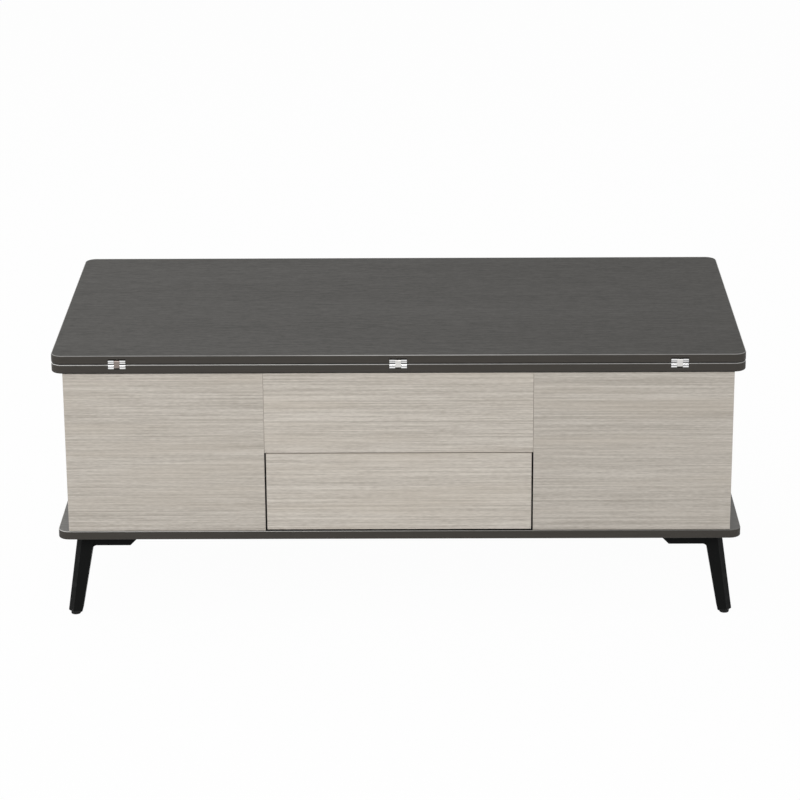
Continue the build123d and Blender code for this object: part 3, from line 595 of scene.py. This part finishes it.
# %% [markdown]
# ## Bare and plated metal
# Three metals show: nickel on the fold hinges, bright on the bodies and satin on the links, zinc on slides,
# screws and pins, and the ground chrome of the gas springs' rods. Metal has no colour of its own to print,
# only what it mirrors, so the finish is made by its roughness: fine lines along the way it was rolled or
# ground, blotches where the plating is thicker, and a little dirt in the lines. Some colour is painted light
# and shade: bands of painted shade lie in the hinges' grooves and at the seam between their halves, the left
# hinge's link is a darker brown copy of the satin nickel as a painted reflection of something dark, and the
# slides' front ends wear black tips, bumpers whose black also paints the shade inside the drawer's gap.

# %% Plate a metal
# Bands of painted shade on the hinge halves, by height, half width and strength: the two pressed grooves and
# the seam between the halves.
GROOVES = ((0.46835, 0.0014, 0.85), (0.47615, 0.0014, 0.8), (0.47255, 0.0016, 1.0))
GROOVE_SHADE = (0.12, 0.12, 0.12)
# The slides' black tips are bumpers whose black also paints the shade inside the drawer's gap.
TIP_BLACK_SHADE = (0.012, 0.012, 0.012)
TIP_FADE = 0.0005


def plated(name, base, dull, lines, rough, depth, grooves=(), tip=None):
    """Plated metal; grooves are bands of painted shade by height, half width and strength; the tip is black.
    """
    plate = Finish(name)
    brush = plate.noise(plate.stretch(plate.spot, lines), detail=3, rough=0.6)
    blotch = plate.noise(plate.spot, detail=4, rough=0.55, scale=45)
    dirt = plate.ramp(brush, 0.62, 0.78) * plate.ramp(blotch, 0.4, 0.65)
    colour = plate.mix(plate.ramp(blotch, 0.35, 0.7), base, dull)
    colour = plate.mix(0.35 * dirt, colour, scaled(0.45, dull))
    # Painted shade in the grooves and at the seam, where little light gets in.
    for level, half, strength in grooves:
        reach = abs(plate.place[2] - level)
        colour = plate.mix(strength * plate.ramp(reach, half, 0.4 * half), colour, GROOVE_SHADE)
    # The rail's black front tip: a bumper that also stands as painted shade in the drawer's gap.
    if tip is not None:
        front = plate.ramp(plate.place[1], tip, tip - TIP_FADE)
        colour = plate.mix(front, colour, TIP_BLACK_SHADE)
    sheen = rough + 0.14 * (blotch - 0.5) + 0.1 * (brush - 0.5)
    return plate.finish(colour, sheen, brush, depth=depth, strength=0.3, Metallic=1.0)


print("grooves on the hinges:", len(GROOVES))

# %% Dress the metal parts
HINGES = ("left_hinge", "middle_hinge", "right_hinge")
HINGE_PARTS = [f"{hinge}_{part}" for hinge in HINGES for part in ("lower_body", "upper_body", "link")]
SLIDE_RAILS = [f"{hand}_slide_{part}_rail" for hand in HANDS for part in ("cabinet", "middle", "drawer")]
TIP_LENGTH = 0.004
ROLLED = {"lines": (90, 2600, 2600), "rough": 0.24, "depth": 0.00002}
BRUSHED = {"lines": (2600, 90, 90), "rough": 0.46, "depth": 0.00003}
GROUND = {"lines": (900, 900, 900), "rough": 0.14, "depth": 0.00001}
ZINC = {
    "base": (0.66, 0.67, 0.69),
    "dull": (0.52, 0.53, 0.54),
    "lines": (1800, 60, 1800),
    "rough": 0.36,
    "depth": 0.00003,
}
nickel = plated("bright_nickel", (0.88, 0.88, 0.88), (0.78, 0.78, 0.77), grooves=GROOVES, **ROLLED)
satin_nickel = plated("satin_nickel", (0.70, 0.69, 0.67), (0.60, 0.59, 0.57), **BRUSHED)
# The left hinge's link gets a darker brown copy of the satin nickel: a painted reflection of something dark.
brown_nickel = plated("tarnished_nickel", (0.26, 0.22, 0.20), (0.19, 0.16, 0.145), **BRUSHED)
zinc = plated("zinc_plate", **ZINC)
tipped_zinc = plated("tipped_zinc", tip=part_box("left_slide_cabinet_rail")[0].y + TIP_LENGTH, **ZINC)
chrome = plated("ground_chrome", (0.82, 0.82, 0.83), (0.75, 0.75, 0.76), **GROUND)

metals = dict.fromkeys((*HINGE_PARTS, "hinge_lower_pins", "hinge_upper_pins"), nickel)
metals.update({f"{hinge}_link": satin_nickel for hinge in HINGES})
# Painted reflection on the left hinge's link.
metals["left_hinge_link"] = brown_nickel
metals.update(dict.fromkeys((*SLIDE_RAILS, "base_pivot_pins", "top_pivot_pins", "latch_strike_plate"), zinc))
metals.update({f"{hand}_slide_cabinet_rail": tipped_zinc for hand in HANDS})
metals.update({f"{hand}_gas_rod": chrome for hand in HANDS})
for solid, metal in metals.items():
    dress(solid, metal)
print("metal parts:", len(metals))

# %% [markdown]
# ## Moulded plastic
# The push latch behind the drawer is grey moulded plastic. Such parts come out of a spark-eroded mould with a
# fine even texture, which scatters the light without showing lines.

# %% Mould the latch's plastic
def moulded(name, base):
    """A moulded plastic with the fine texture of its mould and a faint flow of tone."""
    plastic = Finish(name)
    erosion = plastic.noise(plastic.spot, detail=3, rough=0.6, scale=2200)
    flow = plastic.noise(plastic.stretch(plastic.spot, (40, 8, 40)), detail=3)
    colour = plastic.mix(plastic.ramp(flow, 0.3, 0.7), scaled(0.9, base), base)
    rough = 0.5 + 0.15 * (erosion - 0.5)
    return plastic.finish(colour, rough, erosion, depth=0.00005, strength=0.35, Specular_IOR_Level=0.4)


LATCH_PARTS = ("push_latch_housing", "push_latch_plunger")
grey_plastic = moulded("grey_moulded_plastic", (0.33, 0.33, 0.32))
for solid in LATCH_PARTS:
    dress(solid, grey_plastic)
print("plastic parts:", len(LATCH_PARTS))

# %% [markdown]
# ## Screws
# The solids hold a plain stud for every screw, which marks its place and its direction. Real ones are
# pan-head screws with a cross recess. Where they go is measured from the studs themselves: every loose
# island of the solid is one screw, it lies along its longest side, and its head is at the fatter end. The
# islands are taken in the order of the mesh's points, so the screws come out the same on every run.

# %% Find the screws
MERGE_REACH = 1e-6
SCREW_GROUPS = (
    ("cabinet_screws", "cabinet"),
    ("drawer_screws", "drawer"),
    ("rail_screws", "lifted_top"),
)


def merged_copy(names):
    """A loose mesh of some solids, in which points that lie together are one."""
    copy = bmesh.new()
    for name in names:
        copy.from_mesh(solids[name].data)
    bmesh.ops.remove_doubles(copy, verts=copy.verts, dist=MERGE_REACH)
    return copy


def islands(name):
    """The loose islands of a solid, each as a list of points."""
    copy = merged_copy([name])
    left = set(copy.verts)
    found = []
    for first in copy.verts:
        if first not in left:
            continue
        left.remove(first)
        edge = [first]
        island = []
        while edge:
            point = edge.pop()
            island.append(point.co.copy())
            near = {other for link in point.link_edges for other in link.verts} & left
            left -= near
            edge.extend(near)
        found.append(island)
    copy.free()
    return found


studs = {group: islands(group) for group, _ in SCREW_GROUPS}
print("screws:", {group: len(found) for group, found in studs.items()})

# %% Measure the screws
END_REACH = 1e-5


def screw_seat(island):
    """A screw's seat under its head, the way its head faces, and its whole length."""
    low = [min(point[axis] for point in island) for axis in range(3)]
    high = [max(point[axis] for point in island) for axis in range(3)]
    axis = max(range(3), key=lambda side: high[side] - low[side])
    middle = Vector([(a + b) / 2 for a, b in zip(low, high)])
    spread = [(point - middle, point[axis]) for point in island]

    def girth(level):
        near = [offset for offset, place in spread if abs(place - level) < END_REACH]
        return max(math.hypot(*[offset[side] for side in range(3) if side != axis]) for offset in near)

    head_up = girth(high[axis]) > girth(low[axis])
    aim = Vector((0, 0, 0))
    aim[axis] = 1.0 if head_up else -1.0
    seat = middle.copy()
    levels = sorted({round(point[axis], 6) for point in island})
    seat[axis] = levels[-2] if head_up else levels[1]
    return seat, aim, high[axis] - low[axis]


screw_seats = {group: [screw_seat(island) for island in found] for group, found in studs.items()}
print("lengths:", sorted({round(seat[2], 4) for seats in screw_seats.values() for seat in seats}))

# %% [markdown]
# ## Small parts on points
# Forty-eight screws alike are a job for Geometry Nodes: one is shaped in a tree and set on a point for each
# place, turned to the way the place faces and spun by chance, as a driver leaves it. The tree's inputs have
# names, so that the next fitting can use it with other sizes. Each point carries its aim and its length as
# attributes, and what the tree makes is kept as a plain mesh.

# %% Make and run trees
def group_tree(name, inputs):
    """A Geometry Nodes tree with named inputs, its wires by name, and its output node."""
    nodes = bpy.data.node_groups.new(name, "GeometryNodeTree")
    face = nodes.interface
    face.new_socket("Geometry", in_out="OUTPUT", socket_type="NodeSocketGeometry")
    face.new_socket("Geometry", in_out="INPUT", socket_type="NodeSocketGeometry")
    for label, kind in inputs:
        face.new_socket(label, in_out="INPUT", socket_type=f"NodeSocket{kind}")
    tree = Tree(nodes)
    start = nodes.nodes.new("NodeGroupInput")
    wires = {socket.name: Wire(tree, socket) for socket in start.outputs if socket.name}
    return tree, wires, nodes.nodes.new("NodeGroupOutput")


def settle(name, mesh, nodes, values):
    """Runs a tree on a mesh and returns what it makes as a plain mesh object at the origin."""
    seed = bpy.data.objects.new(name, mesh)
    scene.collection.objects.link(seed)
    modifier = seed.modifiers.new("grow", "NODES")
    modifier.node_group = nodes
    for item in nodes.interface.items_tree:
        if item.in_out == "INPUT" and item.name in values:
            modifier[item.identifier] = values[item.name]
    bpy.context.view_layer.update()
    grown = bpy.data.meshes.new_from_object(seed.evaluated_get(bpy.context.evaluated_depsgraph_get()))
    grown.name = name
    seed.modifiers.remove(modifier)
    seed.data = grown
    bpy.data.meshes.remove(mesh)
    return seed


def grow(name, places, nodes, values):
    """Runs a tree on places, each a point with an aim and a length."""
    mesh = bpy.data.meshes.new(name)
    mesh.from_pydata([place[0] for place in places], [], [])
    mesh.attributes.new("aim", "FLOAT_VECTOR", "POINT")
    mesh.attributes.new("length", "FLOAT", "POINT")
    mesh.attributes["aim"].data.foreach_set("vector", [part for place in places for part in place[1]])
    mesh.attributes["length"].data.foreach_set("value", [place[2] for place in places])
    return settle(name, mesh, nodes, values)


print("tree helpers ready")

# %% Shape caps and set them on points
def cylinder(tree, sides, radius, depth):
    return tree.node("GeometryNodeMeshCylinder", {"Vertices": sides, "Radius": radius, "Depth": depth})


def raised(tree, shape, height):
    sockets = {"Geometry": shape, "Translation": tree.join(0.0, 0.0, height)}
    return tree.node("GeometryNodeTransform", sockets)


def drawn_cap(tree, sides, radius, height, steps):
    """A disc on its seat; each step lifts its top by a part of the height and scales it by a share."""
    disc = cylinder(tree, sides, radius, 0.5 * height)
    crown = Wire(tree, disc.socket.node.outputs["Top"])
    cap = raised(tree, disc, 0.25 * height)
    for rise, share in steps:
        sockets = {"Mesh": cap, "Selection": crown, "Offset Scale": rise * height}
        drawn = tree.node("GeometryNodeExtrudeMesh", sockets)
        crown = Wire(tree, drawn.socket.node.outputs["Top"])
        sockets = {"Geometry": drawn, "Selection": crown, "Scale": share}
        cap = tree.node("GeometryNodeScaleElements", sockets)
    return cap


def attribute(tree, kind, name):
    return tree.node("GeometryNodeInputNamedAttribute", {"Name": name}, {"data_type": kind})


def set_on_points(tree, wires, end, shapes):
    """Sets shapes, each with its scale, on every point, turned to its aim and spun by chance."""
    aim = attribute(tree, "FLOAT_VECTOR", "aim")
    turn = tree.node("FunctionNodeAlignRotationToVector", {"Vector": aim}, {"axis": "Z"})
    # Of a Random Value node's sockets, 3 is the largest float and the output 1 is the float.
    sockets = {"Seed": wires["Seed"], 3: math.tau}
    chance = tree.node("FunctionNodeRandomValue", sockets, {"data_type": "FLOAT"}, out=1)
    spin = tree.node("FunctionNodeAxisAngleToRotation", {"Axis": (0, 0, 1), "Angle": chance})
    sockets = {"Rotation": turn, "Rotate By": spin}
    turn = tree.node("FunctionNodeRotateRotation", sockets, {"rotation_space": "LOCAL"})
    placed = tree.node("GeometryNodeJoinGeometry")
    for shape, scale in shapes:
        sockets = {"Points": wires["Geometry"], "Instance": shape, "Rotation": turn, "Scale": scale}
        tree.feed(placed.socket.node.inputs[0], tree.node("GeometryNodeInstanceOnPoints", sockets))
    whole = tree.node("GeometryNodeRealizeInstances", {"Geometry": placed})
    whole = tree.node("GeometryNodeSetMaterial", {"Geometry": whole, "Material": wires["Material"]})
    # The cross recess takes a black material as painted shade.
    if "Recess Shade Material" in wires:
        recess = attribute(tree, "BOOLEAN", "recess")
        sockets = {"Geometry": whole, "Selection": recess, "Material": wires["Recess Shade Material"]}
        whole = tree.node("GeometryNodeSetMaterial", sockets)
    tree.feed(end.inputs["Geometry"], whole)


print("caps and points ready")

# %% [markdown]
# ## The screw's shape
# A head is turned up from a disc, its top is drawn in twice to a dome, and two bars cut the cross out of it.
# The bars mark their faces, so that the recess can take a black material as painted shade. The shank is a bar
# of one metre, which every point shrinks to its own length.

# %% Build the screw tree
HEAD_SIDES = 20
HEAD_STEPS = ((0.3, 0.86), (0.2, 0.66))
CROSS_BARS = ((1.15, 0.26), (0.26, 1.15))
CROSS_HEIGHT = 1.1
EXACT_CUT = {"operation": "DIFFERENCE", "solver": "EXACT"}
SHANK_SIDES = 10


def cross_bar(tree, radius, height, across):
    """A bar of the cross, centred on the top of the head and marked as recess."""
    size = tree.join(across[0] * radius, across[1] * radius, CROSS_HEIGHT * height)
    bar = tree.node("GeometryNodeMeshCube", {"Size": size})
    settings = {"data_type": "BOOLEAN", "domain": "FACE"}
    sockets = {"Geometry": bar, "Name": "recess", "Value": True}
    bar = tree.node("GeometryNodeStoreNamedAttribute", sockets, settings)
    return raised(tree, bar, height)


def screw_tree():
    """A tree of pan-head screws with a cross recess."""
    inputs = (
        ("Head Radius", "Float"),
        ("Head Height", "Float"),
        ("Shank Radius", "Float"),
        ("Seed", "Int"),
        ("Material", "Material"),
        ("Recess Shade Material", "Material"),
    )
    tree, wires, end = group_tree("pan_head_screw", inputs)
    radius, height = wires["Head Radius"], wires["Head Height"]
    head = drawn_cap(tree, HEAD_SIDES, radius, height, HEAD_STEPS)
    recess = tree.node("GeometryNodeMeshBoolean", {"Mesh 1": head}, EXACT_CUT)
    for across in CROSS_BARS:
        tree.feed(recess.socket.node.inputs["Mesh 2"], cross_bar(tree, radius, height, across))
    shank = raised(tree, cylinder(tree, SHANK_SIDES, wires["Shank Radius"], 1.0), -0.5)
    draw_out = tree.join(1.0, 1.0, attribute(tree, "FLOAT", "length"))
    set_on_points(tree, wires, end, ((recess, (1, 1, 1)), (shank, draw_out)))
    return tree.nodes


pan_head = screw_tree()
print("screw tree nodes:", len(pan_head.nodes))

# %% Drive the screws
HEAD_RADIUS = 0.0036
HEAD_HEIGHT = 0.0014
SHANK_RADIUS = 0.002
SCREW_SEED = 3


def screw_values(radius, height, shank, seed, material):
    """The screw tree's inputs by name."""
    return {
        "Head Radius": radius,
        "Head Height": height,
        "Shank Radius": shank,
        "Seed": seed,
        "Material": material,
        # Black enamel in the cross recess is painted shade.
        "Recess Shade Material": black_enamel,
    }


def drive_screws(group, body, seed):
    """Sets screws on the seats of a group, which they replace."""
    places = [(seat, aim, whole - HEAD_HEIGHT) for seat, aim, whole in screw_seats[group]]
    values = screw_values(HEAD_RADIUS, HEAD_HEIGHT, SHANK_RADIUS, seed, zinc)
    screws = grow(f"pan_head_{group}", places, pan_head, values)
    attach(screws, body)
    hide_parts(group)
    print(screws.name, len(places), "screws,", len(screws.data.polygons), "faces")


for number, (group, body) in enumerate(SCREW_GROUPS):
    drive_screws(group, body, SCREW_SEED + number)

# %% [markdown]
# ## Hinge screws
# When the top leaf is folded out, the hinges lie open, and two small countersunk screws show in each half.
# They are all but flush, so the same screw tree makes them with a head of a fifth of a millimetre. The lower
# halves ride on the lifted leaf and the upper halves on the folding one.

# %% Screw down the hinges
HINGE_HEAD_RADIUS = 0.0021
HINGE_HEAD_HEIGHT = 0.0002
HINGE_SHANK_RADIUS = 0.5 * HINGE_HEAD_RADIUS
HINGE_SCREW_DEPTH = 0.004
HINGE_SCREW_SIDE = 0.0051
HINGE_SCREW_BACK = 0.0042
HINGE_SEED = 20
SCREW_STEEL = {"base": (0.36, 0.36, 0.36), "dull": (0.28, 0.28, 0.28), "lines": (900, 900, 900)}
HINGE_HALVES = (("lower", 1, 1, "lifted_top"), ("upper", 0, -1, "folding_leaf"))


def hinge_places(half, side, aim):
    """Two places in the seam face of each hinge half: the lower one's top or the upper one's underside."""
    places = []
    for hinge in HINGES:
        low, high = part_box(f"{hinge}_{half}_body")
        level = (low, high)[side].z
        for x in (low.x + HINGE_SCREW_SIDE, high.x - HINGE_SCREW_SIDE):
            place = Vector((x, high.y - HINGE_SCREW_BACK, level))
            places.append((place, Vector((0, 0, aim)), HINGE_SCREW_DEPTH))
    return places


screw_steel = plated("screw_steel", rough=0.4, depth=0.00002, **SCREW_STEEL)
for half, side, aim, body in HINGE_HALVES:
    sizes = (HINGE_HEAD_RADIUS, HINGE_HEAD_HEIGHT, HINGE_SHANK_RADIUS)
    values = screw_values(*sizes, HINGE_SEED + side, screw_steel)
    hinge_screws = grow(f"hinge_{half}_screws", hinge_places(half, side, aim), pan_head, values)
    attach(hinge_screws, body)
    print(hinge_screws.name, len(hinge_screws.data.polygons), "faces")

# %% [markdown]
# ## Punched steel and pressed hinges
# Slide rails are rolled from strip that was punched beforehand, the lift's arms have slots too, and the hinge
# halves have a groove pressed along their faces. All are cuts into plain solids, so a merged copy of the
# solid runs through a tree that takes a row of cutters out of it. One cutter is the hull of two round bars,
# which makes a slot; with both bars in one place it makes a groove. The cuts are shaded smooth except at
# sharp corners.

# %% Build the cutting tree
BAR_SIDES = 16


def cutting_tree():
    """A tree that cuts a row of slots out of the mesh it runs on."""
    inputs = (
        ("Start", "Vector"),
        ("Step", "Vector"),
        ("Count", "Int"),
        ("Bar Radius", "Float"),
        ("Bar Spread", "Float"),
        ("Bar Length", "Float"),
        ("Material", "Material"),
    )
    tree, wires, end = group_tree("row_of_cuts", inputs)
    bar = cylinder(tree, BAR_SIDES, wires["Bar Radius"], wires["Bar Length"])
    bars = tree.node("GeometryNodeJoinGeometry")
    for way in (-0.5, 0.5):
        move = tree.join(0.0, way * wires["Bar Spread"], 0.0)
        sockets = {"Geometry": bar, "Translation": move, "Rotation": (0, math.pi / 2, 0)}
        tree.feed(bars.socket.node.inputs[0], tree.node("GeometryNodeTransform", sockets))
    slot = tree.node("GeometryNodeConvexHull", {"Geometry": bars})
    sockets = {"Count": wires["Count"], "Start Location": wires["Start"], "Offset": wires["Step"]}
    line = tree.node("GeometryNodeMeshLine", sockets, {"mode": "OFFSET"})
    row = tree.node("GeometryNodeInstanceOnPoints", {"Points": line, "Instance": slot})
    cut = tree.node("GeometryNodeMeshBoolean", {"Mesh 1": wires["Geometry"], "Mesh 2": row}, EXACT_CUT)
    whole = tree.node("GeometryNodeRealizeInstances", {"Geometry": cut})
    sockets = {"Geometry": whole, "Material": wires["Material"]}
    tree.feed(end.inputs["Geometry"], tree.node("GeometryNodeSetMaterial", sockets))
    return tree.nodes


row_of_cuts = cutting_tree()
print("cutting tree nodes:", len(row_of_cuts.nodes))

# %% Punch the slides and the lift's arms
SHARP_CORNER = math.radians(35)
SLOT_BAR = 0.03
RAIL_SLOTS = {"count": 6, "inset": 0.045, "radius": 0.0024, "spread": 0.007}
ARM_SLOTS = {"count": 4, "inset": 0.02, "radius": 0.004, "spread": 0.028}
PUNCHED = (
    ("slide_drawer_rail", "drawer", "zinc_steel", zinc, RAIL_SLOTS),
    ("slide_middle_rail", "slide_middle_rails", "zinc_steel", zinc, RAIL_SLOTS),
    ("front_lift_arm", "front_arms", "lift_steel", grey_coat, ARM_SLOTS),
    ("rear_lift_arm", "rear_arms", "lift_steel", grey_coat, ARM_SLOTS),
)


def cut_copy(name, sources, body, values):
    """A merged copy of some solids with a row of cuts, which takes their place on their body."""
    copy = merged_copy(sources)
    mesh = bpy.data.meshes.new(name)
    copy.to_mesh(mesh)
    copy.free()
    if mesh.has_custom_normals:
        mesh.attributes.remove(mesh.attributes["custom_normal"])
    piece = settle(name, mesh, row_of_cuts, values)
    piece.data.shade_smooth()
    piece.data.set_sharp_from_angle(angle=SHARP_CORNER)
    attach(piece, body)
    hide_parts(*sources)
    print(name, len(piece.data.polygons), "faces")


def slot_values(solid, material, slots):
    """A row of slots through the middle of a solid's web, evenly spread over its length less the inset."""
    low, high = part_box(solid)
    step = (high.y - low.y - 2 * slots["inset"]) / slots["count"]
    return {
        "Start": ((low.x + high.x) / 2, low.y + slots["inset"] + step / 2, (low.z + high.z) / 2),
        "Step": (0.0, step, 0.0),
        "Count": slots["count"],
        "Bar Radius": slots["radius"],
        "Bar Spread": slots["spread"],
        "Bar Length": SLOT_BAR,
        "Material": material,
    }


for hand in HANDS:
    for part, body, slot, material, slots in PUNCHED:
        solid = f"{hand}_{part}"
        cut_copy(f"{solid}_punched", (solid,), body, slot_values(solid, material, slots))

# %% Press the hinges' grooves
PRESS_RADIUS = 0.0009
PRESS_OUT = 0.0004
PRESS_OVERRUN = 1.1
PRESSED_HALVES = (("lower", "lifted_top", GROOVES[0][0]), ("upper", "folding_leaf", GROOVES[1][0]))

for half, body, level in PRESSED_HALVES:
    bodies = [f"{hinge}_{half}_body" for hinge in HINGES]
    corners = [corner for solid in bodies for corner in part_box(solid)]
    values = {
        "Start": (0.0, min(corner.y for corner in corners) - PRESS_OUT, level),
        "Step": (0.0, 0.0, 0.0),
        "Count": 1,
        "Bar Radius": PRESS_RADIUS,
        "Bar Spread": 0.0,
        "Bar Length": 2 * PRESS_OVERRUN * max(corner.x for corner in corners),
        "Material": nickel,
    }
    cut_copy(f"hinge_{half}_bodies", bodies, body, values)

# %% [markdown]
# ## Release levers
# A drawer on such slides can be taken out by two thin plastic levers, one in each drawer rail's channel. Each
# is cut from a flat outline, with a tapered tail and a thumb pad, so a drawn outline in millimetres is pushed
# out to the plastic's thickness and its edges are eased.

# %% Fit the release levers
LEVER_LOWER = ((-3, 0), (0, -3), (24, -3), (29, -1.5), (37, -2.2))
LEVER_UPPER = ((40, 0), (37, 2.2), (29, 1.5), (24, 3), (0, 3))
MM_PER_METRE = 1000
LEVER_THICK = 0.0016
LEVER_EASE = 0.0004
LEVER_RISE = 0.0095
LEVER_BACK = 0.06
RAIL_STEEL = 0.0012


def lever(hand, way):
    """A lever that lies on the channel side of a drawer rail's web."""
    low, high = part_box(f"{hand}_slide_drawer_rail")
    web = high.x - RAIL_STEEL if way < 0 else low.x + RAIL_STEEL
    start = Vector((web, low.y + LEVER_BACK, (low.z + high.z) / 2 + LEVER_RISE))
    draft = bmesh.new()
    outline = [start + Vector((0, y, z)) / MM_PER_METRE for y, z in (*LEVER_LOWER, *LEVER_UPPER)]
    corners = [draft.verts.new(corner) for corner in outline]
    pushed = bmesh.ops.extrude_face_region(draft, geom=[draft.faces.new(corners)], use_keep_orig=True)["geom"]
    outer = [part for part in pushed if isinstance(part, bmesh.types.BMVert)]
    bmesh.ops.translate(draft, verts=outer, vec=(way * LEVER_THICK, 0, 0))
    bmesh.ops.recalc_face_normals(draft, faces=draft.faces)
    rim = [edge for edge in draft.edges if all(point in outer for point in edge.verts)]
    bmesh.ops.bevel(draft, geom=rim, offset=LEVER_EASE, segments=2, profile=0.5, affect="EDGES")
    mesh = bpy.data.meshes.new(f"{hand}_release_lever")
    draft.to_mesh(mesh)
    draft.free()
    mesh.materials.append(black_plastic)
    piece = bpy.data.objects.new(mesh.name, mesh)
    scene.collection.objects.link(piece)
    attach(piece, "drawer")
    print(piece.name, len(mesh.polygons), "faces")


black_plastic = moulded("black_moulded_plastic", (0.018, 0.018, 0.018))
for hand, way in zip(HANDS, (-1, 1)):
    lever(hand, way)

# %% [markdown]
# ## Cam covers
# The boards are pulled together by cams, sunk in the inner faces near the corners and hidden by snap-in
# covers: thin round caps with a soft rim. They show when the top is lifted, and they grow on points in the
# same way as the screws.

# %% Press in the cam covers
COVER_RADIUS = 0.0085
COVER_RISE = 0.0007
COVER_SIDES = 28
COVER_STEPS = ((0.5, 0.93), (0.0, 0.8), (-0.2, 0.96))
COVER_SEED = 11
COVER_EDGE = 0.024
COVER_LEVELS = (0.205, 0.315)
COVER_BOARDS = (
    ("left_end_panel", 1, 1),
    ("right_end_panel", 0, -1),
    ("left_partition", 0, -1),
    ("right_partition", 1, 1),
)


def cover_tree():
    """A tree of round caps with a rim and a shallow dish."""
    inputs = (("Radius", "Float"), ("Rise", "Float"), ("Seed", "Int"), ("Material", "Material"))
    tree, wires, end = group_tree("cam_cover", inputs)
    cap = drawn_cap(tree, COVER_SIDES, wires["Radius"], wires["Rise"], COVER_STEPS)
    set_on_points(tree, wires, end, ((cap, (1, 1, 1)),))
    return tree.nodes


def cover_places():
    """Places on the inner faces of the end panels and on the partitions' faces towards the side bins."""
    places = []
    for board, inner, aim in COVER_BOARDS:
        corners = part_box(board)
        for y in (corners[0].y + COVER_EDGE, corners[1].y - COVER_EDGE):
            for level in COVER_LEVELS:
                places.append((Vector((corners[inner].x, y, level)), Vector((aim, 0, 0)), 0.0))
    return places


cover_plastic = moulded("cam_cover_plastic", (0.47, 0.43, 0.375))
covers = cover_places()
cover_values = {"Radius": COVER_RADIUS, "Rise": COVER_RISE, "Seed": COVER_SEED, "Material": cover_plastic}
cam_covers = grow("cam_covers", covers, cover_tree(), cover_values)
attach(cam_covers, "cabinet")
print("cam covers:", len(covers))
